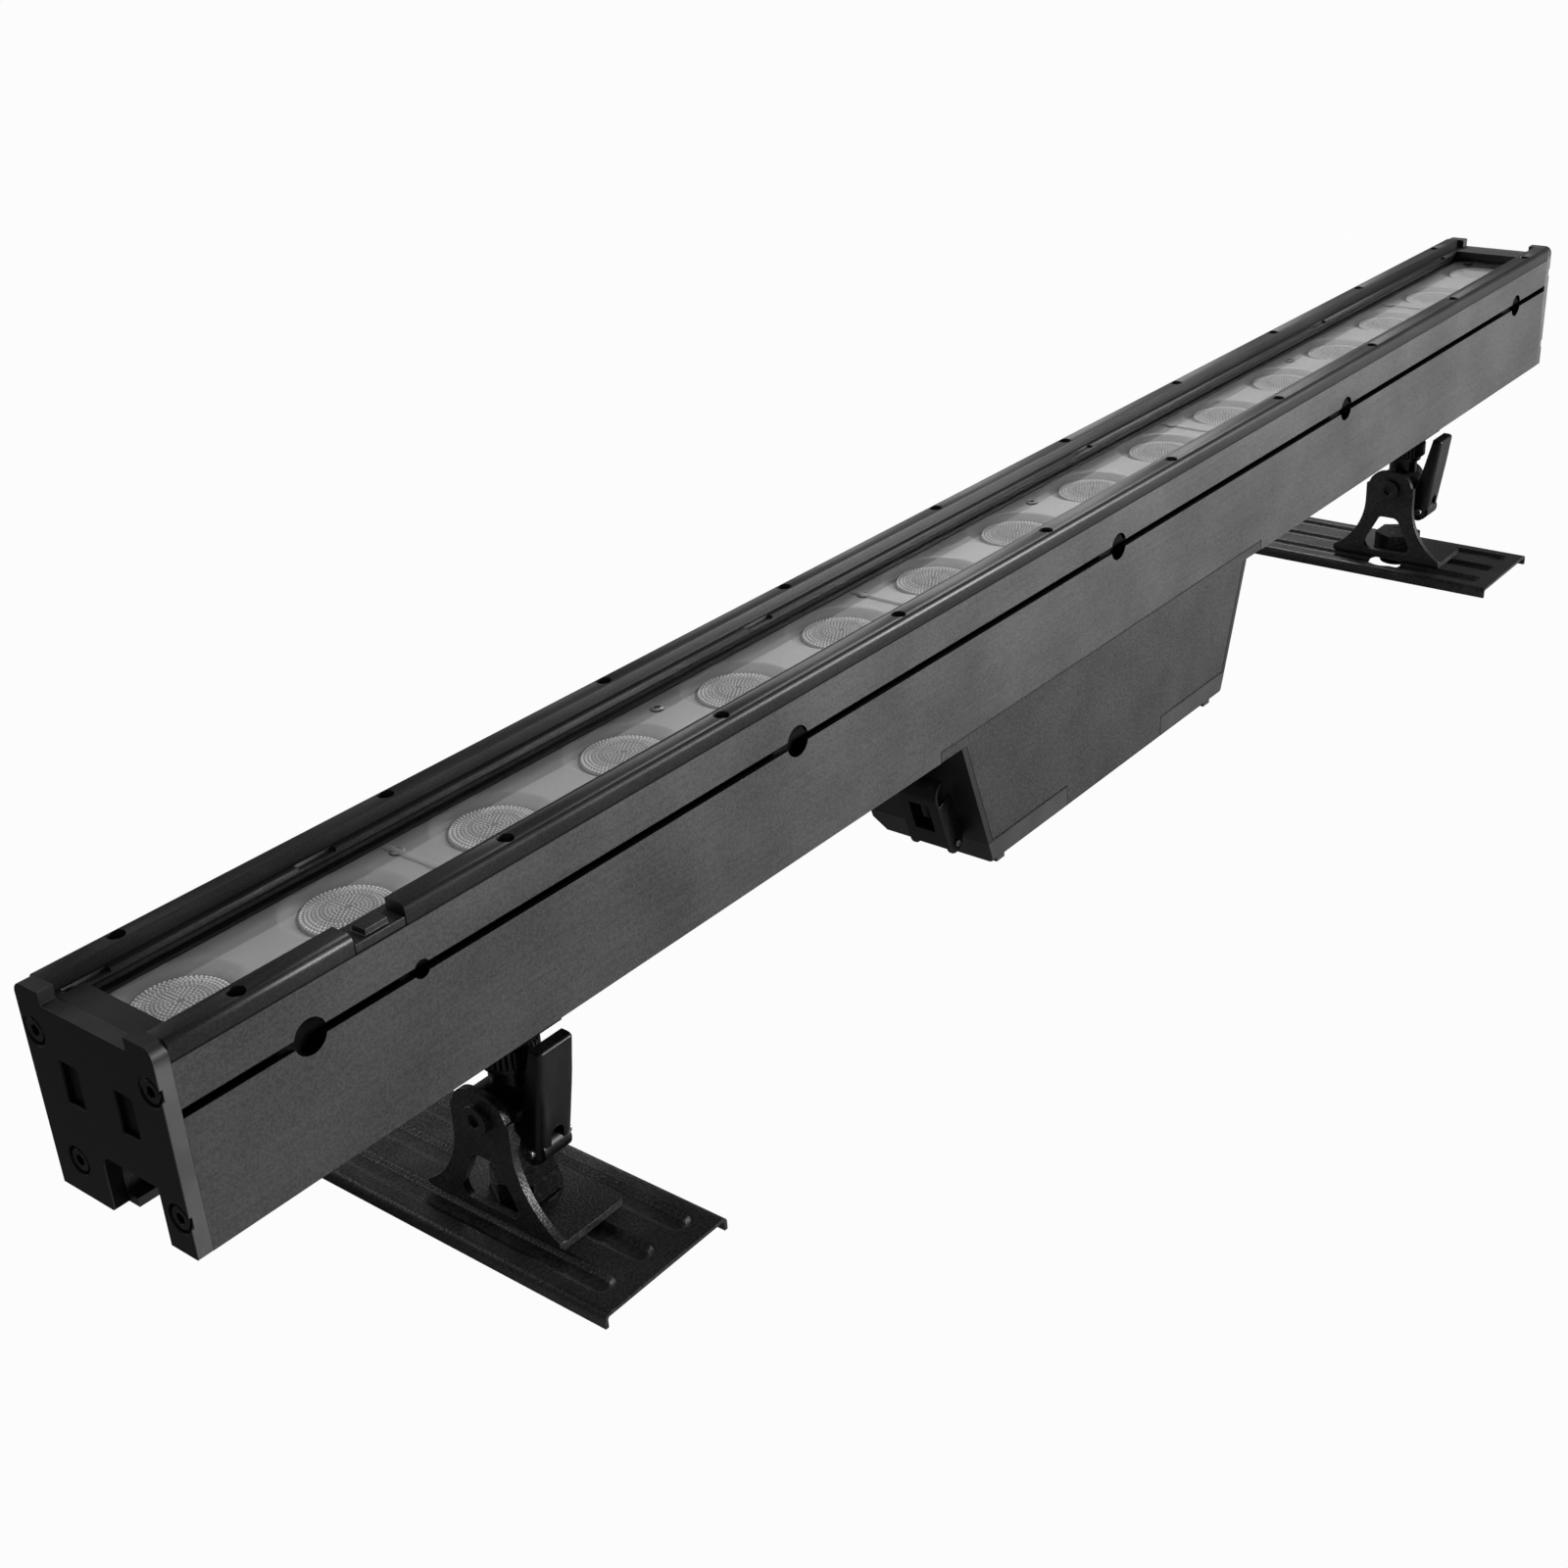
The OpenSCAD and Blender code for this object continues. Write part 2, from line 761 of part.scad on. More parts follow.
// LED board with one emitter under each lens
module led_board(i) {
    centre_x = (i - (board_count - 1) / 2) * lenses_per_board * lens_pitch;
    color("#d8d8d4") on_bar() {
        difference() {
            translate([centre_x - board_length / 2, (bar_width - board_width) / 2, cavity_floor])
                cube([board_length, board_width, board_thickness]);
            tray_screw_places() translate([0, 0, cavity_floor - over])
                cylinder(r = tray_screw_r + screw_gap, h = board_thickness + 2 * over);
        }
        lens_places(i * lenses_per_board, lenses_per_board)
            translate([0, 0, lens_z]) cylinder(r = emitter_r, h = emitter_height);
    }
}

// Half length of the driver box at height z, moved in from its end by "inset"
function box_half(z, inset = 0) = box_half_top + z * tan(box_slope) - inset / cos(box_slope);

// Driver box as seen from the front, up to z = top
module box_side(floor_inset, end_inset, top) {
    low = floor_inset - box_depth;
    upper = box_half(top, end_inset);
    lower = box_half(low, end_inset);
    polygon([[-upper, top], [-lower, low], [lower, low], [upper, top]]);
}

// Driver box as seen from its end: rounded in front, bevelled at the back
module box_profile(inset) {
    low = inset - box_depth;
    bevel = back_bevel - inset / 2;
    r = front_edge_r - inset / 2;
    back = box_width - inset;
    translate([inset, low + r]) square([back - inset - bevel, box_depth + over]);
    polygon([[inset + r, low], [back - bevel, low], [back, low + bevel], [back, over],
             [inset + r, over]]);
    translate([inset + r, low + r]) circle(r);
}

// Driver box as a solid, or its hollow when the insets are given
module box_solid(wall_inset = 0, end_inset = 0, top = 0) {
    intersection() {
        along_y(wall_inset, box_width - wall_inset) box_side(wall_inset, end_inset, top);
        along_x(2 * box_half_top) box_profile(wall_inset);
    }
}

module box_shell() {
    difference() {
        box_solid();
        box_solid(box_wall, box_end_plate, over / 2);
    }
}

// Region of the left end: its end plate, and the shoe that wraps the bottom
module box_end_zone(gap = 0) {
    far = -box_half_top - over;
    low = -box_depth - over;
    along_y(-over, box_width + over) {
        polygon([[far, over], [gap - box_half(over, box_end_plate), over],
                 [gap - box_half(low, box_end_plate), low], [far, low]]);
        translate([far, low])
            square([shoe_length - box_half_bottom + gap - far, over + shoe_height + gap]);
    }
}

module driver_case() {
    color("#38383a") on_bar() {
        difference() {
            box_shell();
            both_ends() box_end_zone(seam);
        }
        difference() {
            translate([-flange_length / 2, 0, 0]) cube([flange_length, box_wall, flange_height]);
            both_ends() translate([-flange_length / 2, 0, -over])
                mirror([1, 0, 0]) cube([over, box_wall, over]);
        }
    }
}

// Frame on the left end plate: X into the box, Z up the slope
module on_end_face(y, drop) {
    translate([-box_half(-drop), y, -drop]) rotate([0, -box_slope, 0]) children();
}

module on_latch() {
    on_end_face(latch_y, latch_pin_drop) translate([-latch_stand, 0, 0]) children();
}

// Sloping end plate of the box with its shoe, socket hole and latch lugs
module driver_end() {
    difference() {
        union() {
            intersection() {
                box_shell();
                box_end_zone();
            }
            // Rib that the box stands on when it is taken off
            translate([rib_inset - box_half_bottom, front_edge_r, -box_depth - rib_height])
                cube([rib_length, box_width - back_bevel - front_edge_r, rib_height]);
            on_latch() latch_lugs();
        }
        on_end_face(socket_y, socket_drop)
            span_x(socket_bore_r + screw_gap, -over, box_end_plate + over);
        on_latch() latch_rod(latch_pin_d / 2 + screw_gap, latch_width);
    }
}

// Round rod across a latch
module latch_rod(r, length) {
    rotate([90, 0, 0]) cylinder(r = r, h = length, center = true);
}

// Two lugs that hold the latch pin between the latch's cheeks
module latch_lugs() {
    offset_y = latch_width / 2 - latch_sheet - run_gap - lug_thickness / 2;
    for (side = [-1, 1]) translate([0, side * offset_y, 0]) {
        latch_rod(lug_r, lug_thickness);
        translate([0, -lug_thickness / 2, -lug_r])
            cube([latch_stand + box_end_plate / 2, lug_thickness, 2 * lug_r]);
    }
}

module driver_end_left() {
    color("#1a1a1b") on_bar() driver_end();
}

module driver_end_right() {
    color("#1a1a1b") on_bar() at_right() driver_end();
}

// Circuit board of the driver with its largest parts, hung on four posts
module driver_board() {
    color("#2f5d3a") on_bar() translate([0, box_width / 2, -driver_pcb_lift - driver_pcb[2]]) {
        translate([-driver_pcb[0] / 2, -driver_pcb[1] / 2, 0]) cube(driver_pcb);
        for (x = [-1, 1], y = [-1, 1])
            translate([x * driver_pcb[0] * driver_post_shares[0],
                       y * driver_pcb[1] * driver_post_shares[1], driver_pcb[2]])
                cylinder(r = driver_post_r, h = driver_pcb_lift);
        translate([driver_pcb[0] * choke_share, -choke_size[1] / 2, -choke_size[2]])
            cube(choke_size);
        for (i = [0:can_count - 1])
            translate([driver_pcb[0] * can_share + i * can_pitch, 0, -can_height])
                cylinder(r = can_r, h = can_height);
        translate([driver_pcb[0] * heat_share, -heat_block[1] / 2, -heat_block[2]])
            cube(heat_block);
    }
}

// Round panel socket in an end plate, open to the outside
module panel_socket() {
    on_end_face(socket_y, socket_drop) difference() {
        union() {
            span_x(socket_r, -socket_flange, 0);
            span_x(socket_bore_r, -socket_flange, socket_tail);
        }
        span_x(socket_bore_r - socket_wall, -socket_flange - over, socket_tail - socket_floor);
    }
}

module power_socket() {
    color("#0e0e0f") on_bar() panel_socket();
}

module signal_socket() {
    color("#0e0e0f") on_bar() at_right() panel_socket();
}

// Sheet steel latch with its pin at the origin and its length towards +Z
module latch() {
    half = latch_width / 2;
    web_length = latch_length - latch_hook_r;
    slot_z = latch_length * latch_slot_share;
    difference() {
        union() {
            translate([-latch_cheek_r, -half, 0]) cube([latch_sheet, latch_width, web_length]);
            for (side = [-1, 1]) translate([0, side * (half - latch_sheet / 2), 0]) {
                latch_rod(latch_cheek_r, latch_sheet);
                translate([-latch_cheek_r, -latch_sheet / 2, 0])
                    cube([2 * latch_cheek_r, latch_sheet, latch_length * latch_cheek_share]);
            }
            // Hook curled over towards the bar
            translate([latch_hook_r - latch_cheek_r, 0, web_length]) intersection() {
                difference() {
                    latch_rod(latch_hook_r, latch_width);
                    latch_rod(latch_hook_r - latch_sheet, latch_width + over);
                }
                translate([-latch_hook_r, -half, 0]) cube([latch_hook_r, latch_width, latch_hook_r]);
            }
            // Tab folded in from the slot
            translate([-latch_cheek_r, -latch_slot[0] / 2, slot_z - latch_sheet])
                cube([latch_tab + latch_sheet, latch_slot[0], latch_sheet]);
        }
        latch_rod(latch_pin_d / 2 + pin_gap, latch_width + 2 * over);
        translate([-latch_cheek_r - over, -latch_slot[0] / 2, slot_z])
            cube([latch_sheet + 2 * over, latch_slot[0], latch_slot[1]]);
    }
}

module latch_left() {
    color("#2c2c2e") on_bar() on_latch() latch();
}

module latch_right() {
    color("#2c2c2e") on_bar() at_right() on_latch() latch();
}

module latch_pins() {
    color("#8a8a8c") on_bar() both_ends() on_latch()
        latch_rod(latch_pin_d / 2, latch_width + 2 * latch_sheet);
}

// Frame of one foot: its swivel axis at the origin, on the floor
module at_foot(side) {
    translate([side == "left" ? left_foot_x : right_foot_x, foot_y, 0]) children();
}

// One groove pressed along the plate; a greater radius gives its underside
module pressed_groove(r) {
    half_width = sqrt(press_r * press_r - pow(press_r - press_depth, 2));
    reach = plate_length / 2 - press_inset - half_width;
    translate([0, plate_shift, plate_height + press_r - press_depth]) {
        rotate([90, 0, 0]) cylinder(r = r, h = 2 * reach, center = true);
        for (y = [-reach, reach]) translate([0, y, 0]) sphere(r);
    }
}

// Pressed sheet plate: long edges turned down, three grooves, a fixing hole in the right one
module floor_plate(side) {
    front = plate_shift - plate_length / 2;
    back = plate_shift + plate_length / 2;
    color("#1d1d1e") at_foot(side) difference() {
        along_y(front, back) round_topped(plate_width, plate_height, plate_bend_r);
        // Hollow underside between the turned-down long edges
        difference() {
            translate([0, 0, -plate_sheet]) along_y(front - over, back + over)
                round_topped(plate_width - 2 * plate_sheet, plate_height, plate_bend_r - plate_sheet);
            for (i = [-1:1]) translate([i * press_pitch, 0, 0]) pressed_groove(press_r + plate_sheet);
        }
        for (i = [-1:1]) translate([i * press_pitch, 0, 0]) pressed_groove(press_r);
        cylinder(d = swivel_bolt_d + 2 * pin_gap, h = 2 * plate_height);
        if (side == "right")
            translate([-fixing_offset, 0, 0]) cylinder(d = fixing_d, h = 2 * plate_height);
    }
}

// Low-headed bolt that the floor plate swivels on
module swivel_bolt(side) {
    head_top = plate_height - press_depth - plate_sheet - swivel_head_gap;
    tip = bracket_z + bracket_sheet + washer_height + nut_height;
    color("#3a3a3b") at_foot(side) {
        translate([0, 0, head_top - swivel_head_height])
            cylinder(r = swivel_head_r, h = swivel_head_height);
        translate([0, 0, head_top]) cylinder(d = swivel_bolt_d, h = tip - head_top);
    }
}

module swivel_nut(side) {
    color("#444446") at_foot(side) translate([0, 0, bracket_z + bracket_sheet]) difference() {
        union() {
            cylinder(r = washer_r, h = washer_height);
            translate([0, 0, washer_height])
                cylinder(d = nut_flats / cos(30), h = nut_height, $fn = 6);
        }
        translate([0, 0, -over])
            cylinder(d = swivel_bolt_d + 2 * pin_gap, h = washer_height + nut_height + 2 * over);
    }
}

// Outline of the bracket's upright, as (Y, Z) over its underside
module bracket_outline() {
    difference() {
        union() {
            translate([-bracket_width / 2, 0])
                square([bracket_width, pivot_height - flank_drop]);
            translate([-head_width / 2, 0])
                square([head_width, pivot_height + shoulder_rise]);
            round_topped(head_width - 2 * shoulder, pivot_height + head_rise, head_corner);
        }
        for (side = [-1, 1])
            translate([side * (head_width / 2 + flank_r), pivot_height - flank_drop])
                circle(flank_r);
        hull() for (side = [-1, 1]) {
            translate([side * (window_top_half - window_corner / 2),
                       pivot_height - window_drop - window_corner])
                circle(window_corner, $fn = 32);
            translate([side * (window_bottom_half - window_corner / 2),
                       window_sill + window_corner])
                circle(window_corner, $fn = 32);
        }
    }
}

module tilt_bracket(side) {
    inner_reach = flange_reach - bracket_corner;
    color("#222224") at_foot(side) translate([bracket_x, 0, bracket_z]) difference() {
        union() {
            translate([bracket_sheet / 2, 0, 0]) along_x(bracket_sheet) bracket_outline();
            // Base flange with two rounded corners
            translate([0, -bracket_width / 2, 0])
                cube([inner_reach, bracket_width, bracket_sheet]);
            translate([0, bracket_corner - bracket_width / 2, 0])
                cube([flange_reach, bracket_width - 2 * bracket_corner, bracket_sheet]);
            for (y = [-1, 1])
                translate([inner_reach, y * (bracket_width / 2 - bracket_corner), 0])
                    cylinder(r = bracket_corner, h = bracket_sheet);
        }
        translate([0, 0, pivot_height])
            span_x(tilt_bolt_d / 2 + pin_gap, -over, bracket_sheet + over);
        translate([-bracket_x, 0, -over])
            cylinder(d = swivel_bolt_d + 2 * pin_gap, h = bracket_sheet + 2 * over);
    }
}

// Cross bolt of the tilt joint: socket head outside the bracket, nut inside
module tilt_bolt(side) {
    nut_x = bracket_sheet + barrel_length + 2 * run_gap;
    color("#4a4a4c") at_foot(side) translate([bracket_x, 0, pivot_z]) {
        difference() {
            span_x(tilt_head_r, -tilt_head_height, 0);
            translate([-tilt_head_height - over, 0, 0]) rotate([0, 90, 0])
                cylinder(d = tilt_socket_d, h = over + tilt_head_height * socket_share, $fn = 6);
        }
        span_x(tilt_bolt_d / 2, 0, nut_x + tilt_nut_height);
        translate([nut_x, 0, 0]) rotate([0, 90, 0])
            cylinder(d = tilt_nut_d, h = tilt_nut_height, $fn = 6);
    }
}

// Slider in the channel, with the threaded stud that hangs from it
module clamp_slider(side) {
    color("#5c5c5f") at_foot(side) translate([0, 0, bar_z]) {
        translate([-slider_length / 2, -slider_width / 2, lip_thickness + run_gap])
            cube([slider_length, slider_width, slider_height]);
        translate([-slider_length / 2, run_gap - mouth_width / 2, -run_gap])
            cube([slider_length, mouth_width - 2 * run_gap,
                  lip_thickness + slider_height / 2 + run_gap]);
        translate([0, 0, hinge_neck_top - pivot_drop])
            cylinder(d = stud_d, h = pivot_drop - hinge_neck_top);
    }
}

// Block drawn up against the underside of the bar: a plate with a boss around
// the stud and a turned-down front that the lever's hook closes against
module clamp_plate(side) {
    half = clamp_block_depth / 2;
    color("#17171a") at_foot(side) translate([0, 0, bar_z - run_gap - clamp_block_height])
        difference() {
            union() {
                translate([-clamp_block / 2, -half, clamp_block_height - clamp_sheet])
                    cube([clamp_block, clamp_block_depth, clamp_sheet]);
                translate([-clamp_block / 2, -half, 0])
                    cube([clamp_block, clamp_sheet, clamp_block_height]);
                cylinder(r = boss_r, h = clamp_block_height);
            }
            translate([0, 0, -over])
                cylinder(d = stud_d + 2 * screw_gap, h = clamp_block_height + 2 * over);
        }
}

// Arm and eye of the lock lever's pin, as (Y, Z) from the tilt axis
module lever_eye_outline() {
    arm = lever_eye_r * lever_arm_share;
    difference() {
        union() {
            translate(lever_eye) circle(lever_eye_r);
            rotate(atan2(lever_eye[1], lever_eye[0])) translate([0, -arm / 2])
                square([norm(lever_eye), arm]);
        }
        translate(lever_eye) circle(lever_pin_d / 2 + screw_gap);
    }
}

// Hinge barrel with its neck, and the eye that carries the lock lever
module clamp_hinge(side) {
    barrel_x = bracket_x + bracket_sheet + run_gap;
    color("#2b2b2d") at_foot(side) translate([0, 0, pivot_z]) difference() {
        union() {
            span_x(barrel_r, barrel_x, barrel_x + barrel_length);
            translate([0, 0, barrel_r / 2]) cylinder(r = neck_r, h = hinge_neck_top - barrel_r / 2);
            translate([0, 0, hinge_neck_top - collar_height])
                cylinder(r = collar_r, h = collar_height);
            along_x(lever_eye_width) lever_eye_outline();
        }
        span_x(tilt_bolt_d / 2 + pin_gap, barrel_x - over, barrel_x + barrel_length + over);
    }
}

// Thumb wheel on the stud, with its hub under the clamp block
module knurled_wheel(side) {
    hub_top = wheel_drop + wheel_height - clamp_block_height - 2 * run_gap;
    color("#3f3f42") at_foot(side) translate([0, 0, bar_z - wheel_drop - wheel_height])
        difference() {
            union() {
                cylinder(d = wheel_d, h = wheel_height);
                cylinder(r = hub_r, h = hub_top);
            }
            translate([0, 0, -over]) cylinder(d = stud_d + 2 * pin_gap, h = hub_top + 2 * over);
            for (i = [0:wheel_grooves - 1]) rotate([0, 0, i * 360 / wheel_grooves])
                translate([wheel_d / 2, 0, -over])
                    cylinder(r = knurl_r, h = wheel_height + 2 * over, $fn = 4);
        }
}

// Front of the lever at height z over its pin, as Y
function lever_y(z) = -lever_front - z * tan(lever_lean);

// Folded sheet lever: two cheeks joined by a leaning web with a hooked top
module lock_lever(side) {
    color("#353537") at_foot(side) translate([0, lever_eye[0], pivot_z + lever_eye[1]])
        difference() {
            union() {
                for (x = [-1, 1]) translate([x * (lever_width - lever_sheet) / 2, 0, 0])
                    along_x(lever_sheet) {
                        circle(lever_foot_r);
                        polygon([[lever_y(0), 0], [lever_y(lever_top), lever_top],
                                 [lever_y(lever_top) + lever_top_depth, lever_top],
                                 [lever_foot_r, 0]]);
                    }
                along_x(lever_width) polygon([
                    [lever_y(lever_web_bottom), lever_web_bottom],
                    [lever_y(lever_top), lever_top],
                    [lever_y(lever_top) + lever_sheet, lever_top],
                    [lever_y(lever_web_bottom) + lever_sheet, lever_web_bottom]]);
                translate([-lever_width / 2, lever_y(lever_top), lever_top - lever_sheet])
                    cube([lever_width, lever_hook, lever_sheet]);
            }
            rod_x(lever_pin_d / 2 + pin_gap, lever_width + 2 * over);
            // Arch cut out of the web's lower edge
            translate([0, lever_y(lever_web_bottom) + lever_sheet, lever_web_bottom])
                rotate([90, 0, 0])
                    cylinder(r = lever_arch_r, h = 2 * lever_sheet + over, center = true);
        }
}

module lever_pin(side) {
    color("#9a9a9c") at_foot(side) translate([0, lever_eye[0], pivot_z + lever_eye[1]])
        rod_x(lever_pin_d / 2, lever_width + 2 * lever_sheet);
}

housing();
front_rail();
back_rail();
rail_clip();
end_cap_left();
end_cap_right();
end_cap_screws();
rail_screws();
glass();
glass_seal();
glass_end_plates();
lens_tray();
tray_screws();
for (i = [1:board_count]) {
    lens_group(i - 1);
    led_board(i - 1);
}
driver_case();
driver_end_left();
driver_end_right();
driver_board();
power_socket();
signal_socket();
latch_left();
latch_right();
latch_pins();
for (s = ["left", "right"]) {
    floor_plate(s);
    swivel_bolt(s);
    swivel_nut(s);
    tilt_bracket(s);
    tilt_bolt(s);
    clamp_slider(s);
    clamp_plate(s);
    clamp_hinge(s);
    knurled_wheel(s);
    lock_lever(s);
    lever_pin(s);
}
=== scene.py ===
"""Looks of the outdoor wall washer light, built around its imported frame."""

import json
import math

import bmesh
import bpy
from mathutils import Matrix, Vector


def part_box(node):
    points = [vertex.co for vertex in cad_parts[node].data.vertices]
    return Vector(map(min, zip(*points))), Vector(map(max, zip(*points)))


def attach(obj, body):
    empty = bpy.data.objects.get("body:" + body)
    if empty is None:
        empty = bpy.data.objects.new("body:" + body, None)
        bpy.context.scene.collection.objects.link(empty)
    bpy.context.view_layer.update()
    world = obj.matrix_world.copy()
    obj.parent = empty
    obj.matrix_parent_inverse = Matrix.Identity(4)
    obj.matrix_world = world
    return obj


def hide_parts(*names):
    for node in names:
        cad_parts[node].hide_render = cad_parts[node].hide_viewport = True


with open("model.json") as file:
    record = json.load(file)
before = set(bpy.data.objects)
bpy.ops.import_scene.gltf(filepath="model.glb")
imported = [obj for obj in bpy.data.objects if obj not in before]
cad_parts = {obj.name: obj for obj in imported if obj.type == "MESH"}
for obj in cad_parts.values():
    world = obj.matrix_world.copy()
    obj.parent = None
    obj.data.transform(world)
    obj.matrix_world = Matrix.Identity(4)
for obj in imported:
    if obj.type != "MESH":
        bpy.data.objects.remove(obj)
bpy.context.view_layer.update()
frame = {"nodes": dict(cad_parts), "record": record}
nodes = frame["nodes"]
scene = bpy.context.scene
carried_by = {
    node: body
    for body, members in frame["record"]["behaviour"]["bodies"].items()
    for node in members
}

MM = 0.001

# The photograph's viewpoint: angles in degrees, focal length and sensor in mm
EYE = (-0.74394, -0.46846, 0.45856)
EYE_TURN, EYE_DIP, EYE_ROLL = -49.982, 26.936, -3.646
FOCAL_LENGTH, SENSOR_WIDTH = 47.945, 36.0

# Studio lamps: name, place, side in m, power in W
LAMP_AIM = (0, 0, 0.1)
LAMPS = (
    ("front_softbox", (1.3, -1.7, 0.4), 0.8, 52),
    ("top_softbox", (1.2, 0.6, 1.25), 0.8, 10),
    ("rear_softbox", (-0.7, 2.3, 0.9), 1.2, 18),
)

# Lenses and tray
LENSES = 16
LENSES_PER_BOARD = 4
LENS_PITCH = 62.5 * MM
LENS_Y = -8.75 * MM         # middle line of the lenses, and of the bar
LENS_R = 15.5 * MM
RAISE = 2.9 * MM            # lenses and tray stand this much closer to the glass
TRAY_REACH = 19.6 * MM      # from the middle line to the edge of the tray's field
RIDGE_PLACES = (-375, -125, 125, 375)       # x in mm of the ridges across the tray
TRAY_SCREW_Y = 3.5 * MM
END_SCREW_X = 485 * MM      # outermost tray screws

# Where a finish changes its shade: heights over the floor and distances, in mm
HALF_LENGTH = 500.0         # of the bar
HALF_WIDTH = 31.75
UNDERSIDE = 95.0            # the housing's grooves lie above this height
RAIL_SEAM = 150.3           # joint between housing and rails
CAP_SLOT_TOP = 140.0
# Seams over the box's flange and over its corner shoes, and the shoes' inner ends
FLANGE_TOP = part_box("housing")[0].z / MM + 5.0
SHOE_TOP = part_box("driver_case")[0].z / MM + 11.0
SHOE_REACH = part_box("driver_end_right")[1].x / MM - 70.0
TRAY_SCREW_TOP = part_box("lenses_1")[1].z / MM + 4.2

# Edges and folds of the CAD's own pieces
SHARP_EDGE = 32             # degrees; edges sharper than this get broken
EDGE_STEPS = 2
FOLD_STEPS = 4

# Floor plates
FOOT_Y = -15 * MM           # swivel bolt
PLATE_SHEET = 1.5 * MM
PLATE_LIP = 2.5 * MM        # outer radius of the folded long edges
PRESS_DEPTH = 1.8 * MM
PRESS_PITCH = 19 * MM
PRESS_INSET = 12.2 * MM     # from the plate's end to the centre of a groove's end
GROOVE_FLOOR = 2.3 * MM     # half the width of a groove's flat floor
GROOVE_FLANK = 2.7 * MM
SWIVEL_BORE_R = 5.05 * MM
FIXING_R = 9.5 * MM         # hole in the right plate
FIXING_OFFSET = 16 * MM
BRACKET_SHEET = 3 * MM

# Lock lever, in mm: the pin's own y and z in the frame, and the rest from the pin
LEVER_PIN = (-29.5, 35)
LEVER_HALF_WIDTH = 8.25
LEVER_SHEET = 1.5
LEVER_TOP = 43
LEVER_LEAN = 7.5            # degrees
FOOT_ROUND = 5.5            # radius of the cheeks' lower ends
WEB_FRONT = -4.5
ROLL_START = 41.5           # the top is rolled back above this height
ROLL_R = 1.5
REAR_AT_TOP = -5.2
WINDOW_R = 3.0              # slot in the web, over the pin
WINDOW_MIDDLE = 5.4         # of the slot's round top
WINDOW_TOP = 8.4
CHEEK_GAP = 6.6             # half of what is open between the cheeks, below the pin


# ---------------------------------------------------------------- camera, lamps, floor

def place_camera():
    """The photograph's viewpoint: in front of the left end, looking along the bar."""
    data = bpy.data.cameras.new("camera")
    data.sensor_width = SENSOR_WIDTH
    data.lens = FOCAL_LENGTH
    data.clip_start = 0.02
    data.clip_end = 60.0
    camera = bpy.data.objects.new("camera", data)
    turn = Matrix.Rotation(math.radians(EYE_TURN), 4, "Z")
    tip = Matrix.Rotation(math.radians(90 - EYE_DIP), 4, "X")
    roll = Matrix.Rotation(math.radians(EYE_ROLL), 4, "Z")
    camera.matrix_world = Matrix.Translation(EYE) @ turn @ tip @ roll
    scene.collection.objects.link(camera)
    scene.camera = camera


def softbox(name, place, size, power):
    """A large square studio lamp that faces the light."""
    data = bpy.data.lights.new(name, "AREA")
    data.shape = "SQUARE"
    data.size = size
    data.energy = power
    lamp = bpy.data.objects.new(name, data)
    lamp.location = place
    towards = Vector(LAMP_AIM) - Vector(place)
    lamp.rotation_euler = towards.to_track_quat("-Z", "Y").to_euler()
    scene.collection.objects.link(lamp)


# ---------------------------------------------------------------- shader sums

class Signal:
    """A shader socket that takes part in Python sums; each sum adds its Math node."""

    def __init__(self, finish, socket):
        self.finish = finish
        self.socket = socket

    def _sum(self, operation, first, second):
        return self.finish.node("Math", {"operation": operation}, {0: first, 1: second})

    def __add__(self, other):
        return self._sum("ADD", self, other)

    def __radd__(self, other):
        return self._sum("ADD", other, self)

    def __sub__(self, other):
        return self._sum("SUBTRACT", self, other)

    def __rsub__(self, other):
        return self._sum("SUBTRACT", other, self)

    def __mul__(self, other):
        return self._sum("MULTIPLY", self, other)

    def __rmul__(self, other):
        return self._sum("MULTIPLY", other, self)

    def __truediv__(self, other):
        return self._sum("DIVIDE", self, other)

    def __rtruediv__(self, other):
        return self._sum("DIVIDE", other, self)

    def __pow__(self, other):
        return self._sum("POWER", self, other)

    def __rpow__(self, other):
        return self._sum("POWER", other, self)

    def highest(self, other):
        return self._sum("MAXIMUM", self, other)

    def size(self):
        return self._sum("ABSOLUTE", self, 0.0)


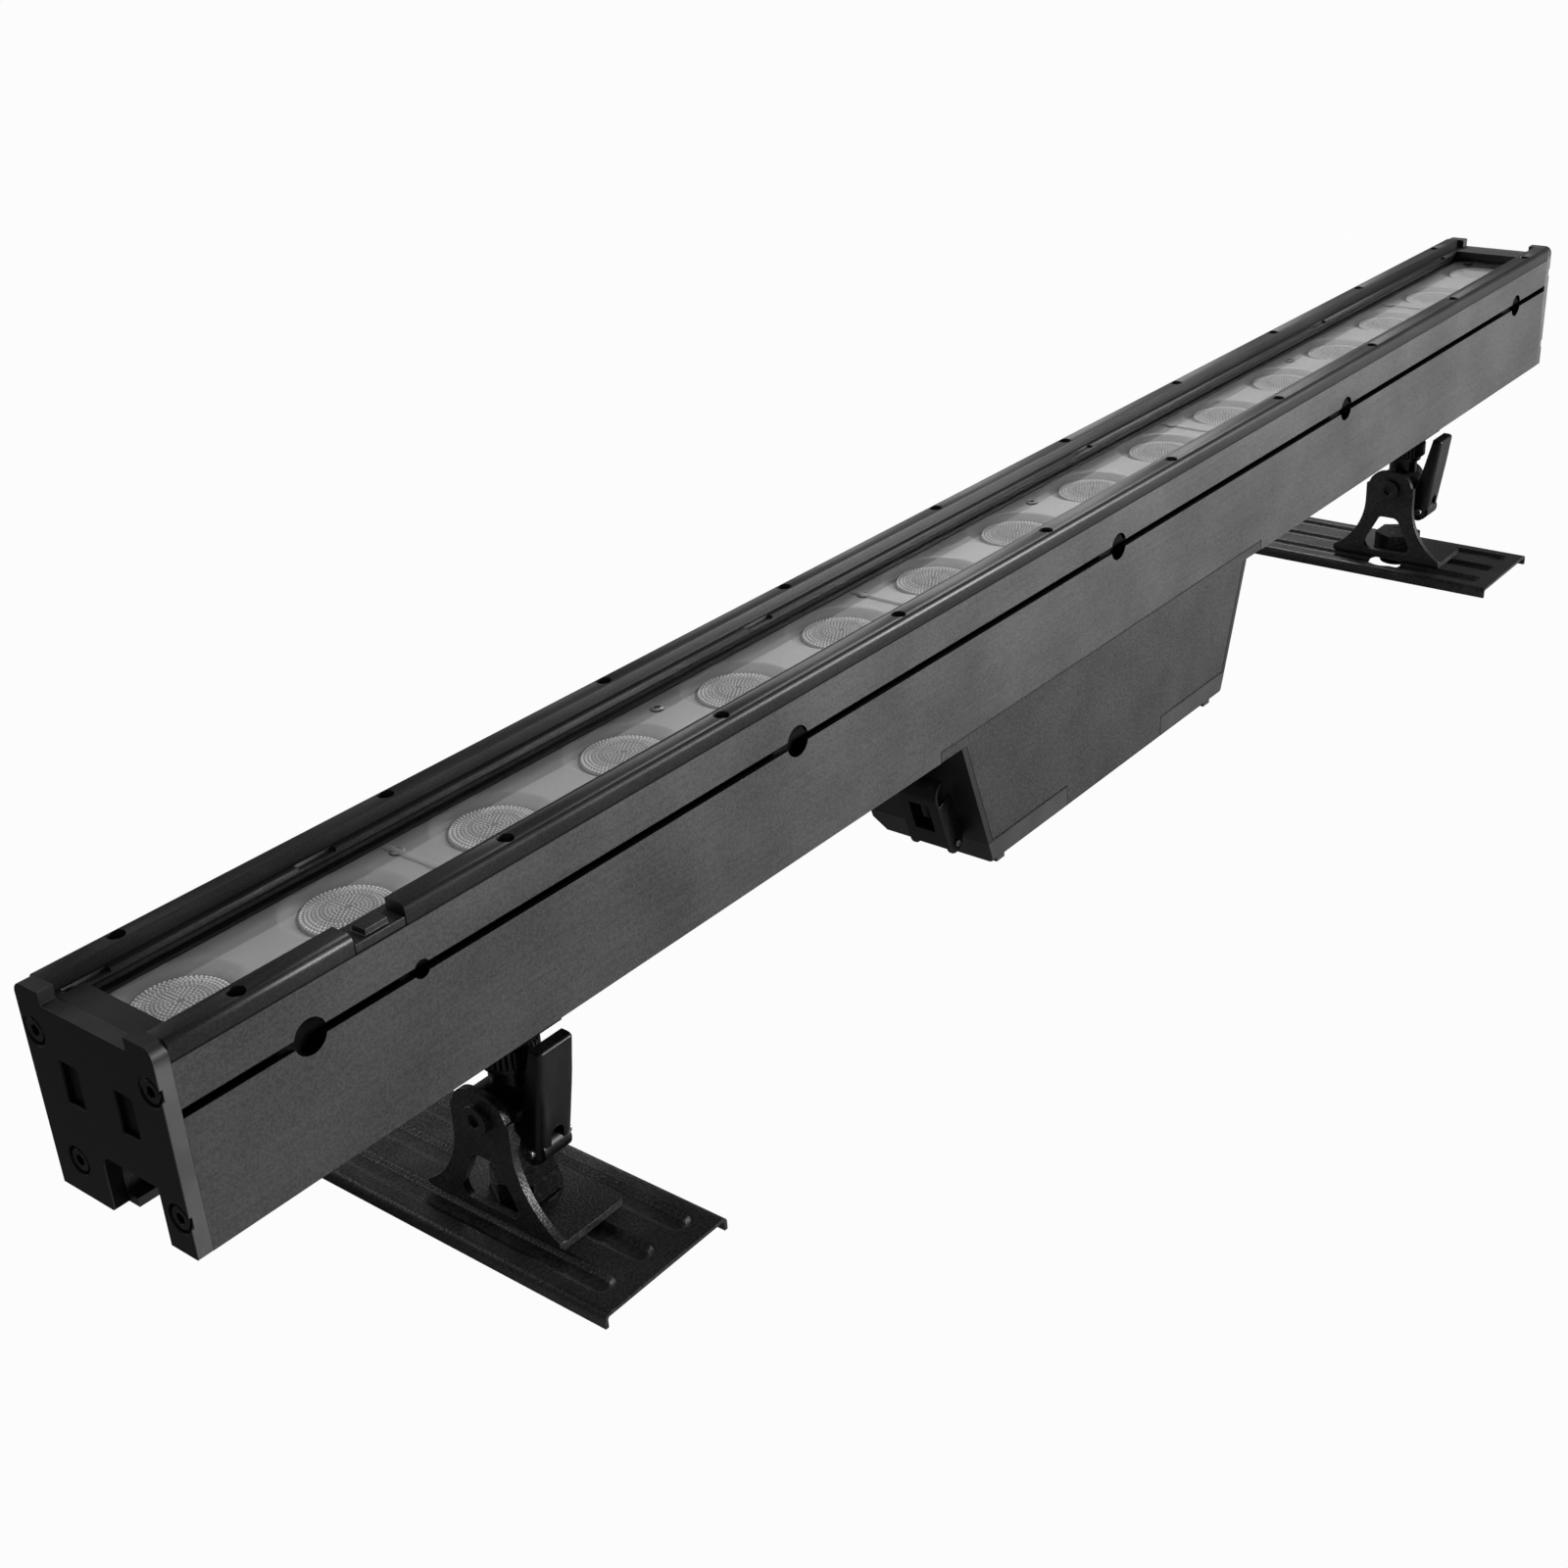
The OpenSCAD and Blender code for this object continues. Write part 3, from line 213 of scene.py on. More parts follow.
class Finish:
    """One node material, with the few patterns that the light's finishes share."""

    def __init__(self, name, tree=None):
        self.material = None
        if tree is None:
            self.material = bpy.data.materials.new(name)
            self.material.use_nodes = True
            tree = self.material.node_tree
        self.tree = tree
        self.tree.nodes.clear()

    def node(self, kind, settings=None, inputs=None, out=0):
        """Adds a node: its settings first, then the values or links of its sockets."""
        added = self.tree.nodes.new("ShaderNode" + kind)
        for name, value in (settings or {}).items():
            setattr(added, name, value)
        for name, value in (inputs or {}).items():
            if isinstance(value, Signal):
                self.tree.links.new(value.socket, added.inputs[name])
            else:
                added.inputs[name].default_value = value
        return Signal(self, added.outputs[out]) if added.outputs else None

    def place(self, stretch=(1, 1, 1)):
        """Position on the object, which travels with it; stretch squeezes the pattern."""
        spot = self.node("TexCoord", out="Object")
        if stretch == (1, 1, 1):
            return spot
        return self.node("VectorMath", {"operation": "MULTIPLY"}, {0: spot, 1: stretch})

    def along(self, axis):
        """Distance in mm from the frame's origin along X, Y or Z."""
        return self.node("SeparateXYZ", {}, {0: self.place()}, out=axis) / MM

    def clouds(self, size_mm, detail, stretch=(1, 1, 1)):
        """Soft noise whose lumps are about size_mm across."""
        return self.node("TexNoise", {}, {
            "Vector": self.place(stretch), "Scale": 1 / (size_mm * MM),
            "Detail": detail, "Roughness": 0.5})

    def dots(self, size_mm):
        """Distance to scattered points, about size_mm apart."""
        return self.node("TexVoronoi", {"feature": "F1"}, {
            "Vector": self.place(), "Scale": 1 / (size_mm * MM)})

    def between(self, value, low, high, start=0.0, end=1.0):
        """Maps low..high to start..end, held at both ends."""
        return self.node("MapRange", {"clamp": True}, {
            "Value": value, "From Min": low, "From Max": high, "To Min": start, "To Max": end})

    def spread(self, noise, start=0.0, end=1.0):
        """Spreads a noise, which keeps near its middle, over start..end."""
        return self.between(noise, 0.3, 0.7, start, end)

    def from_lens(self):
        """Distance from the nearest lens's upright middle line."""
        pitches = self.node("SeparateXYZ", {}, {0: self.place()}, out="X") / LENS_PITCH
        across = self.node("SeparateXYZ", {}, {0: self.place()}, out="Y") - LENS_Y
        # The added pitches keep the sum above 0, where its fraction counts upwards
        share = self.node("Math", {"operation": "FRACT"}, {0: pitches + 20.0})
        along = (share - 0.5) * LENS_PITCH
        return (along * along + across * across) ** 0.5

    def blend(self, share, first, second):
        """Colour between first and second."""
        return self.node("Mix", {"data_type": "RGBA"}, {0: share, 6: first, 7: second}, out=2)

    def relief(self, height, depth_mm, strength, under=None):
        """Normal of a height pattern that is depth_mm deep, over the relief under it."""
        inputs = {"Height": height, "Distance": depth_mm * MM, "Strength": strength}
        if under is not None:
            inputs["Normal"] = under
        return self.node("Bump", {}, inputs)

    def show(self, shader):
        """Puts shader on the surface and gives the finished material."""
        self.node("OutputMaterial", {}, {"Surface": shader})
        return self.material

    def surface(self, **values):
        """Principled surface; names are given with _ for a blank."""
        inputs = {name.replace("_", " "): value for name, value in values.items()}
        return self.node("BsdfPrincipled", {}, inputs)


def grey(level):
    return (level, level, level, 1.0)


HOLLOW = grey(0.003)        # painted shade inside grooves and slots, and the dark line of seams


# ---------------------------------------------------------------- finishes

def anodised(f, dark, pale, roughness, shade):
    """Satin dark anodised aluminium with fine speckle and faint draw lines.

    shade is 1 in its hollows, which turn dark.
    """
    speckle = f.clouds(0.8, 1.0)
    drawn = f.clouds(1.2, 2.0, stretch=(0.02, 1, 1))
    patches = f.clouds(45, 3.0)
    tone = f.between(speckle, 0.34, 0.66) * 0.5 + f.spread(drawn) * 0.2
    tone = tone + f.spread(patches) * 0.3
    return f.show(f.surface(
        Base_Color=f.blend(shade, f.blend(tone, grey(dark), grey(pale)), HOLLOW),
        Roughness=f.spread(patches, roughness - 0.04, roughness + 0.04),
        Metallic=0.75,
        Normal=f.relief(speckle, 0.04, 0.3)))


def rail_seam(f):
    """Share of shade along the joint between housing and rails."""
    return f.between((f.along("Z") - RAIL_SEAM).size(), 0.2, 0.5, 0.9, 0.0)


def anodised_body():
    """The bar's housing, with painted shade inside its grooves."""
    f = Finish("anodised_body")
    # Painted shade inside the grooves, which lie above UNDERSIDE
    depth = HALF_WIDTH - (f.along("Y") - LENS_Y / MM).size()
    above = f.between(f.along("Z"), UNDERSIDE, UNDERSIDE + 5.0)
    hollow = f.between(depth, 0.1, 0.35) * above
    return anodised(f, 0.07, 0.15, 0.44, hollow.highest(rail_seam(f)))


def black_rail():
    """The glass rails, a little smoother than the housing."""
    f = Finish("black_rail")
    return anodised(f, 0.030, 0.065, 0.40, rail_seam(f))


def painted(f, dark, pale, metal, shade=0.0):
    """Black paint with a fine tooth and a few scuffs; shade is 1 where it turns dark."""
    tooth = f.clouds(0.9, 3.0)
    patches = f.clouds(18, 3.0)
    scuffs = f.between(f.clouds(3.0, 4.0, stretch=(1, 1, 0.3)), 0.62, 0.8)
    tone = f.spread(patches) * 0.6 + scuffs * 0.4
    return f.show(f.surface(
        Base_Color=f.blend(shade, f.blend(tone, grey(dark), grey(pale)), HOLLOW),
        Roughness=f.spread(patches, 0.40, 0.48),
        Metallic=metal,
        Normal=f.relief(tooth, 0.05, 0.3)))


def cap_paint():
    """The bar's end caps, with painted shade inside their slots, on their end faces and on their
    crowns.
    """
    f = Finish("cap_paint")
    inwards = f.between(f.along("X").size(), HALF_LENGTH - 0.9, HALF_LENGTH - 0.2, 1.0, 0.0)
    depth = HALF_WIDTH - (f.along("Y") - LENS_Y / MM).size()
    below = f.between(f.along("Z"), CAP_SLOT_TOP, CAP_SLOT_TOP + 2.0, 1.0, 0.0)
    # Painted shade inside the slots
    hollow = inwards * f.between(depth, 1.0, 2.0) * below
    # Painted shade on the end faces, which turn away from the lamps, and on the upward crowns
    face = f.between(f.along("X").size(), HALF_LENGTH - 0.6, HALF_LENGTH - 0.1) * 0.82
    painted_crown_shade = f.between(f.along("Z"), 150.0, 153.0) * 0.6
    return painted(f, 0.15, 0.24, 0.8, hollow.highest(face).highest(painted_crown_shade))


def cover_paint():
    """Cover plates over the ends of the glass."""
    return painted(Finish("cover_paint"), 0.030, 0.055, 0.4)


def box_seam(f, height, reach):
    """Share of shade along a level seam of the driver box, where |x| is more than reach."""
    line = f.between((f.along("Z") - height).size(), 0.45, 0.8, 0.95, 0.0)
    return line * f.between(f.along("X").size(), reach - 0.2, reach + 0.2)


def box_end_paint():
    """End plates of the driver box, with painted shade above their corner shoes."""
    f = Finish("box_end_paint")
    # Painted shade over the end plates above the shoes
    upper = f.between(f.along("Z"), SHOE_TOP, SHOE_TOP + 1.0) * 0.75
    return painted(f, 0.05, 0.085, 0.1, upper.highest(box_seam(f, SHOE_TOP, 0.0)))


def box_paint():
    """Powder coat of the driver box: fine orange peel."""
    f = Finish("box_paint")
    peel = f.clouds(1.1, 3.0)
    patches = f.clouds(30, 3.0)
    tone = f.between(peel, 0.38, 0.62) * 0.85 + f.spread(patches) * 0.15
    seams = box_seam(f, FLANGE_TOP, 0.0).highest(box_seam(f, SHOE_TOP, SHOE_REACH))
    return f.show(f.surface(
        Base_Color=f.blend(seams, f.blend(tone, grey(0.045), grey(0.090)), HOLLOW),
        Roughness=f.spread(patches, 0.40, 0.50),
        Metallic=0.6,
        Normal=f.relief(peel, 0.05, 0.4)))


def black_steel():
    """Textured black powder coat on the pressed steel feet."""
    f = Finish("black_steel")
    tooth = f.dots(0.9)
    grain = f.clouds(1.1, 2.0)
    dust = f.between(f.clouds(16, 4.0), 0.45, 0.75)
    tone = f.between(grain, 0.38, 0.66) * 0.7 + dust * 0.3
    return f.show(f.surface(
        Base_Color=f.blend(tone, grey(0.020), grey(0.075)),
        Roughness=f.between(dust, 0.0, 1.0, 0.34, 0.46),
        Metallic=0.3,
        Normal=f.relief(tooth, 0.14, 0.6, f.relief(grain, 0.06, 0.5))))


def latch_steel():
    """Black plated sheet of the latches and lock levers."""
    f = Finish("latch_steel")
    grain = f.clouds(0.5, 2.0)
    rubs = f.between(f.clouds(5.0, 4.0, stretch=(1, 1, 0.25)), 0.5, 0.75)
    return f.show(f.surface(
        Base_Color=f.blend(rubs, grey(0.012), grey(0.030)),
        Roughness=f.between(rubs, 0.0, 1.0, 0.30, 0.44),
        Metallic=0.4,
        Normal=f.relief(grain, 0.03, 0.35)))


def zinc_steel():
    """Zinc plated pins."""
    f = Finish("zinc_steel")
    cloud = f.clouds(2.0, 4.0)
    return f.show(f.surface(
        Base_Color=f.blend(f.spread(cloud), grey(0.20), grey(0.36)),
        Roughness=f.spread(cloud, 0.28, 0.42),
        Metallic=1.0))


def dark_screws():
    """Black oxide screws and nuts, slightly rubbed."""
    f = Finish("dark_screws")
    rub = f.between(f.clouds(1.6, 4.0), 0.42, 0.7)
    return f.show(f.surface(
        Base_Color=f.blend(rub, grey(0.016), grey(0.045)),
        Roughness=f.between(rub, 0.0, 1.0, 0.28, 0.42),
        Metallic=0.8))


def tray_screw_steel():
    """Plated tray screws, with painted shade below their rims and in their recesses."""
    f = Finish("tray_screw_steel")
    cloud = f.clouds(1.0, 3.0)
    # Painted shade in the recesses and below the rims
    recess = f.between(f.along("Z"), TRAY_SCREW_TOP - 0.7, TRAY_SCREW_TOP - 0.3, 1.0, 0.0)
    plated = f.blend(f.spread(cloud), grey(0.14), grey(0.24))
    return f.show(f.surface(
        Base_Color=f.blend(recess, plated, grey(0.01)),
        Roughness=f.spread(cloud, 0.25, 0.4),
        Metallic=0.6))


def clamp_alloy():
    """Black anodised alloy of the clamp and its knurled wheel."""
    f = Finish("clamp_alloy")
    grain = f.clouds(0.5, 2.0)
    rub = f.between(f.clouds(4.0, 4.0), 0.45, 0.72)
    return f.show(f.surface(
        Base_Color=f.blend(rub, grey(0.010), grey(0.030)),
        Roughness=f.between(rub, 0.0, 1.0, 0.28, 0.40),
        Metallic=0.5,
        Normal=f.relief(grain, 0.02, 0.3)))


def front_glass():
    """Clear pane; lamp light passes straight through it."""
    f = Finish("front_glass")
    smear = f.between(f.clouds(60, 3.0, stretch=(0.5, 1, 1)), 0.45, 0.75)
    pane = f.surface(
        Base_Color=(0.95, 0.95, 0.95, 1.0),
        Roughness=f.between(smear, 0.0, 1.0, 0.0, 0.01),
        Transmission_Weight=1.0,
        IOR=1.45)
    clear = f.node("BsdfTransparent", {}, {"Color": (0.92, 0.92, 0.92, 1.0)})
    shadow = f.node("LightPath", out="Is Shadow Ray")
    return f.show(f.node("MixShader", {}, {0: shadow, 1: pane, 2: clear}))


def clear_lens():
    """Moulded clear lenses, with painted highlights: pale bead crests over darker valleys,
    brightest along the rim.
    """
    f = Finish("clear_lens")
    flow = f.clouds(6.0, 3.0)
    # Painted highlight: the lens turns brighter towards its rim
    rim = f.between(f.from_lens(), 9.0 * MM, 14.0 * MM)
    # Painted highlight on the bead crests
    painted_glint = f.node("Attribute", {"attribute_name": "painted_glint"}, out="Fac")
    valley = f.blend(rim, grey(0.10), grey(0.16))
    pale = f.blend(f.spread(flow), grey(0.70), grey(0.90))
    return f.show(f.surface(
        Base_Color=f.blend(painted_glint * (rim * 0.5 + 0.5), valley, pale),
        Roughness=f.spread(flow, 0.10, 0.16),
        IOR=1.49))


def tray_plastic():
    """Pale grey moulded tray, satin, with a soft cloudy tone, a little dust, and painted shade on
    the dish walls round each lens.
    """
    f = Finish("tray_plastic")
    mould = f.clouds(38, 3.0, stretch=(0.6, 1, 1))
    grain = f.clouds(0.6, 2.0)
    dust = f.between(f.clouds(1.5, 5.0), 0.66, 0.8)
    tone = f.spread(mould) * 0.8 + f.spread(grain) * 0.2
    colour = f.blend(tone, grey(0.20), grey(0.27))
    # Painted shade on the dish walls, in a ring round each lens
    colour = f.blend(f.between(f.from_lens(), 15.6 * MM, 18.5 * MM, 0.8, 0.0), colour, grey(0.04))
    return f.show(f.surface(
        Base_Color=f.blend(dust * 0.5, colour, grey(0.60)),
        Roughness=f.spread(mould, 0.34, 0.46),
        Normal=f.relief(grain, 0.02, 0.3)))


def white_board():
    """White solder mask of the LED boards."""
    f = Finish("white_board")
    cloud = f.clouds(8.0, 3.0)
    return f.show(f.surface(
        Base_Color=f.blend(f.spread(cloud), grey(0.60), grey(0.70)),
        Roughness=f.spread(cloud, 0.35, 0.5)))


def green_board():
    """Dark green solder mask and potting of the driver board."""
    f = Finish("green_board")
    cloud = f.clouds(6.0, 3.0)
    dark, pale = (0.010, 0.05, 0.020, 1), (0.02, 0.09, 0.035, 1)
    return f.show(f.surface(
        Base_Color=f.blend(f.spread(cloud), dark, pale),
        Roughness=f.spread(cloud, 0.3, 0.5)))


def seal_rubber():
    """Matt black rubber."""
    f = Finish("seal_rubber")
    cloud = f.clouds(1.0, 4.0)
    return f.show(f.surface(
        Base_Color=f.blend(f.spread(cloud), grey(0.006), grey(0.016)),
        Roughness=f.spread(cloud, 0.7, 0.85),
        Normal=f.relief(cloud, 0.05, 0.4)))


def socket_plastic():
    """Black moulded plastic of the panel sockets."""
    f = Finish("socket_plastic")
    cloud = f.clouds(0.8, 3.0)
    return f.show(f.surface(
        Base_Color=f.blend(f.spread(cloud), grey(0.005), grey(0.012)),
        Roughness=f.spread(cloud, 0.40, 0.52),
        Normal=f.relief(cloud, 0.04, 0.3)))


FINISHES = {
    make.__name__: make()
    for make in (
        anodised_body, black_rail, cap_paint, cover_paint, box_paint, box_end_paint,
        black_steel, latch_steel, zinc_steel, dark_screws, tray_screw_steel, clamp_alloy,
        front_glass, clear_lens, tray_plastic, white_board, green_board, seal_rubber,
        socket_plastic)
}


# ---------------------------------------------------------------- mesh making

def is_sharp(edge):
    return len(edge.link_faces) == 2 and edge.calc_face_angle(0.0) > math.radians(SHARP_EDGE)


def finish_piece(name, bm, finish, body, stands_for, smooth_below=38, flat=True):
    """Turns bm into a shown piece that rides on body and stands for CAD nodes."""
    bmesh.ops.recalc_face_normals(bm, faces=bm.faces)
    mesh = bpy.data.meshes.new(name)
    bm.to_mesh(mesh)
    bm.free()
    mesh.materials.append(FINISHES[finish])
    mesh.shade_smooth()
    mesh.set_sharp_from_angle(angle=math.radians(smooth_below))
    made = bpy.data.objects.new(name, mesh)
    scene.collection.objects.link(made)
    if flat:
        even = made.modifiers.new("even_normals", "WEIGHTED_NORMAL")
        even.keep_sharp = True
    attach(made, body)
    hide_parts(*stands_for)
    return made


def bare_copy(node):
    """The CAD node's solid with its flat faces whole again."""
    bm = bmesh.new()
    bm.from_mesh(nodes[node].data)
    bmesh.ops.remove_doubles(bm, verts=bm.verts, dist=2e-6)
    bmesh.ops.dissolve_limit(
        bm, angle_limit=math.radians(0.4), verts=bm.verts, edges=bm.edges,
        use_dissolve_boundaries=False)
    return bm


def round_edges(bm, chosen, radius, segments):
    """Rounds the sharp edges for which chosen(edge) is true."""
    edges = [edge for edge in bm.edges if is_sharp(edge) and chosen(edge)]
    if edges:
        bmesh.ops.bevel(
            bm, geom=edges, offset=radius, offset_type="OFFSET", segments=segments,
            profile=0.5, affect="EDGES", clamp_overlap=True)


def eased(node, finish, radius, folds=(), flat=True):
    """A CAD node with its sheet folds rounded, and then its other sharp edges broken."""
    bm = bare_copy(node)
    for chosen, fold in folds:
        round_edges(bm, chosen, fold, FOLD_STEPS)
    round_edges(bm, lambda edge: True, radius, EDGE_STEPS)
    finish_piece(node + "_eased", bm, finish, carried_by[node], [node], flat=flat)


def ring(bm, centre, radius, z, count):
    """Level circle of count points."""
    turns = [2 * math.pi * i / count for i in range(count)]
    return [
        bm.verts.new((centre[0] + radius * math.cos(turn),
                      centre[1] + radius * math.sin(turn), z))
        for turn in turns]


def band(bm, lower, upper):
    """Faces between two rings with the same number of points."""
    count = len(lower)
    for i in range(count):
        j = (i + 1) % count
        bm.faces.new((lower[i], lower[j], upper[j], upper[i]))


def turned(bm, centre, profile, count):
    """Closed solid of revolution about a vertical line, from (radius, z) pairs."""
    rings = [ring(bm, centre, radius, z, count) for radius, z in profile]
    for lower, upper in zip(rings, rings[1:]):
        band(bm, lower, upper)
    bm.faces.new(rings[0])
    bm.faces.new(rings[-1])


def size_of(node):
    """Lowest corner, highest corner and middle of a CAD node."""
    low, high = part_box(node)
    return low, high, (low + high) / 2


# ---------------------------------------------------------------- bar

def carry_over(finish, *names):
    """CAD nodes that keep their own shape and get this finish."""
    for name in names:
        for slot in nodes[name].material_slots:
            slot.material = FINISHES[finish]


def build_bar():
    """Housing, rails, caps, glass and boards."""
    eased("housing", "anodised_body", 0.25 * MM)
    eased("front_rail", "black_rail", 0.3 * MM, flat=False)
    eased("back_rail", "black_rail", 0.3 * MM, flat=False)
    eased("rail_clip", "black_rail", 0.4 * MM)
    for side in ("left", "right"):
        eased("end_cap_" + side, "cap_paint", 0.5 * MM)
    eased("glass_end_plates", "cover_paint", 0.3 * MM)
    eased("end_cap_screws", "dark_screws", 0.25 * MM)
    eased("rail_screws", "dark_screws", 0.2 * MM)
    carry_over("front_glass", "glass")
    carry_over("seal_rubber", "glass_seal")
    carry_over("white_board", *["led_board_%d" % i for i in range(1, 5)])
    carry_over("green_board", "driver_board")


# Rows of moulded beads on a lens: radius of the row in mm, beads in the row
BEAD_ROWS = [
    (14.65, 60), (13.25, 60), (11.95, 54), (10.7, 54), (9.5, 42), (8.25, 42), (7.0, 32),
    (5.75, 26), (4.5, 20), (3.2, 14), (1.8, 8), (0.0, 1)]
BEAD_R = (0.6, 0.72)        # smallest and largest bead, in mm


def lens_x(number):
    """X of a lens, counted from 0 at the left end."""
    return (number - (LENSES - 1) / 2) * LENS_PITCH


def bead_rise(x, y):
    """Height in mm of the moulded beads at x, y in mm from the lens's middle."""
    turn = math.atan2(y, x)
    reach = math.hypot(x, y)
    rise = 0.0
    for number, (row, count) in enumerate(BEAD_ROWS):
        if abs(row - reach) > 0.9:
            continue
        step = 2 * math.pi / count
        # Every other row is turned by half a step
        shift = 0.5 * (number % 2)
        near = (round(turn / step - shift) + shift) * step
        gap = math.hypot(x - row * math.cos(near), y - row * math.sin(near))
        size = min(BEAD_R[1], max(BEAD_R[0], math.pi * row / count))
        rise = max(rise, size * size - gap * gap)
    return math.sqrt(rise) * 0.95


def beaded_lens(bm, centre_x, foot, rim, top):
    """One collimating lens: a cone, a rounded rim and a beaded dome, hollow at its foot.

    A float layer is 1 on the beads and 0 in the valleys between them; the lens finish paints its
    highlights by it.
    """
    count = 300             # points around, so that each bead gets several
    painted_glint = bm.verts.layers.float.get("painted_glint") or bm.verts.layers.float.new("painted_glint")
    centre = (centre_x, LENS_Y)
    shell = [
        (5.3 * MM, foot), (8 * MM, foot), (LENS_R - 0.1 * MM, rim - 1.5 * MM),
        (LENS_R, rim - 1.2 * MM), (LENS_R, top - 2.4 * MM),
        (LENS_R - 0.1 * MM, top - 2.1 * MM)]
    rings = [ring(bm, centre, radius, z, count) for radius, z in shell]
    radii = [15.3 - 0.33 * i for i in range(46)]
    for radius in radii:
        made = []
        for i in range(count):
            turn = 2 * math.pi * i / count
            x, y = radius * math.cos(turn), radius * math.sin(turn)
            rise = bead_rise(x, y)
            # The dome falls by 1.3 mm to the rim, and beads carry the painted highlight from 0.35
            # mm up
            z = top - (0.7 + 1.3 * (radius * MM / LENS_R) ** 2 - rise) * MM
            made.append(bm.verts.new((centre_x + x * MM, LENS_Y + y * MM, min(top, z))))
            made[-1][painted_glint] = min(1.0, max(0.0, (rise - 0.35) / 0.25))
        rings.append(made)
    hollow = ring(bm, centre, 5.0 * MM, foot + 2.8 * MM, count)
    band(bm, hollow, rings[0])
    for lower, upper in zip(rings, rings[1:]):
        band(bm, lower, upper)
    bm.faces.new(rings[-1])
    bm.faces.new(hollow)


def raised(node):
    """Height of the CAD node's top, lifted by RAISE towards the glass."""
    return size_of(node)[1].z + RAISE


def build_lenses():
    """One piece for the lenses of each LED board."""
    for group in range(LENSES // LENSES_PER_BOARD):
        node = "lenses_%d" % (group + 1)
        foot = size_of(node)[0].z
        top = raised(node)
        bm = bmesh.new()
        for i in range(LENSES_PER_BOARD):
            beaded_lens(bm, lens_x(group * LENSES_PER_BOARD + i), foot, top - 2.5 * MM, top)
        finish_piece("beaded_lenses_%d" % (group + 1), bm, "clear_lens", "bar", [node], 60)


def tray_cell(bm, centre_x, left, right, front, back, top, bottom):
    """Part of the tray around one lens: a flat field and a wide soft dish down to the lens."""
    count = 128
    dish = []
    for step in range(15):
        share = step / 14
        sink = 2.4 * share * share * (3 - 2 * share) + 0.5 * share ** 6
        dish.append(((22.0 - 5.8 * share) * MM, top - sink * MM))
    dish += [(15.9 * MM, top - 3.6 * MM), (15.8 * MM, bottom)]
    rings = [ring(bm, (centre_x, LENS_Y), radius, z, count) for radius, z in dish]
    # Where each ray from the lens meets the field's edge
    edge = []
    for i in range(count):
        turn = 2 * math.pi * i / count
        c, s = math.cos(turn), math.sin(turn)
        reach = []
        if c > 1e-9:
            reach.append((right - centre_x) / c)
        if c < -1e-9:
            reach.append((left - centre_x) / c)
        if s > 1e-9:
            reach.append((back - LENS_Y) / s)
        if s < -1e-9:
            reach.append((front - LENS_Y) / s)
        t = min(reach)
        edge.append([centre_x + t * c, LENS_Y + t * s])
    for corner in ((left, front), (left, back), (right, front), (right, back)):
        near = min(edge, key=lambda p: math.hypot(p[0] - corner[0], p[1] - corner[1]))
        near[0], near[1] = corner
    outer = [bm.verts.new((x, y, top)) for x, y in edge]
    under = [bm.verts.new((x, y, bottom)) for x, y in edge]
    band(bm, outer, rings[0])
    for upper, lower in zip(rings, rings[1:]):
        band(bm, upper, lower)
    band(bm, rings[-1], under)


def soft_bar(bm, x0, x1, y0, y1, z0, z1, radius):
    """A low bar with rounded upper edges."""
    made = bmesh.ops.create_cube(bm, size=1.0)["verts"]
    for v in made:
        v.co = Vector((x0 if v.co.x < 0 else x1, y0 if v.co.y < 0 else y1,
                       z0 if v.co.z < 0 else z1))
    edges = {e for v in made for e in v.link_edges if all(w.co.z > z1 - 1e-7 for w in e.verts)}
    bmesh.ops.bevel(bm, geom=list(edges), offset=radius, offset_type="OFFSET", segments=3,
                    profile=0.5, affect="EDGES", clamp_overlap=True)


def build_tray():
    """Moulded tray: a field with sixteen dishes that fills the opening, on a wider foot."""
    low, high, _ = size_of("lens_tray")
    top = raised("lenses_1") + 0.4 * MM
    front, back = LENS_Y - TRAY_REACH, LENS_Y + TRAY_REACH
    bm = bmesh.new()
    for i in range(LENSES):
        centre_x = lens_x(i)
        left = low.x if i == 0 else centre_x - LENS_PITCH / 2
        right = high.x if i == LENSES - 1 else centre_x + LENS_PITCH / 2
        tray_cell(bm, centre_x, left, right, front, back, top, low.z)
    bmesh.ops.remove_doubles(bm, verts=bm.verts, dist=2e-6)
    # End and side walls close the slab
    open_edges = [e for e in bm.edges if len(e.link_faces) == 1]
    bmesh.ops.bridge_loops(bm, edges=open_edges)
    for x in RIDGE_PLACES:
        soft_bar(bm, (x - 1.5) * MM, (x + 1.5) * MM, front + 1 * MM, back - 1 * MM,
                 low.z + 1 * MM, top + 0.9 * MM, 0.9 * MM)
    for y0, y1 in ((low.y, front + 0.5 * MM), (back - 0.5 * MM, high.y)):
        soft_bar(bm, low.x, high.x, y0, y1, low.z, low.z + 3 * MM, 0.3 * MM)
    finish_piece("lens_tray_moulded", bm, "tray_plastic", "bar", ["lens_tray"], 50)


def build_tray_screws():
    """Small pan heads with a round recess, on their shanks."""
    foot = size_of("tray_screws")[0].z
    seat = raised("lenses_1") - 0.2 * MM
    # Radius and height over the seat, both in mm
    head = [(2.7, 0.0), (2.8, 0.5), (2.6, 1.1), (2.1, 1.4), (1.5, 1.5), (1.3, 1.4), (1.2, 0.6)]
    profile = [(1.5 * MM, foot), (1.5 * MM, seat)]
    profile += [(radius * MM, seat + rise * MM) for radius, rise in head]
    bm = bmesh.new()
    for x in [i * 2 * LENS_PITCH for i in range(-3, 4)] + [-END_SCREW_X, END_SCREW_X]:
        turned(bm, (x, TRAY_SCREW_Y), profile, 32)
    finish_piece("tray_screw_heads", bm, "tray_screw_steel", "bar", ["tray_screws"])


# ---------------------------------------------------------------- driver box

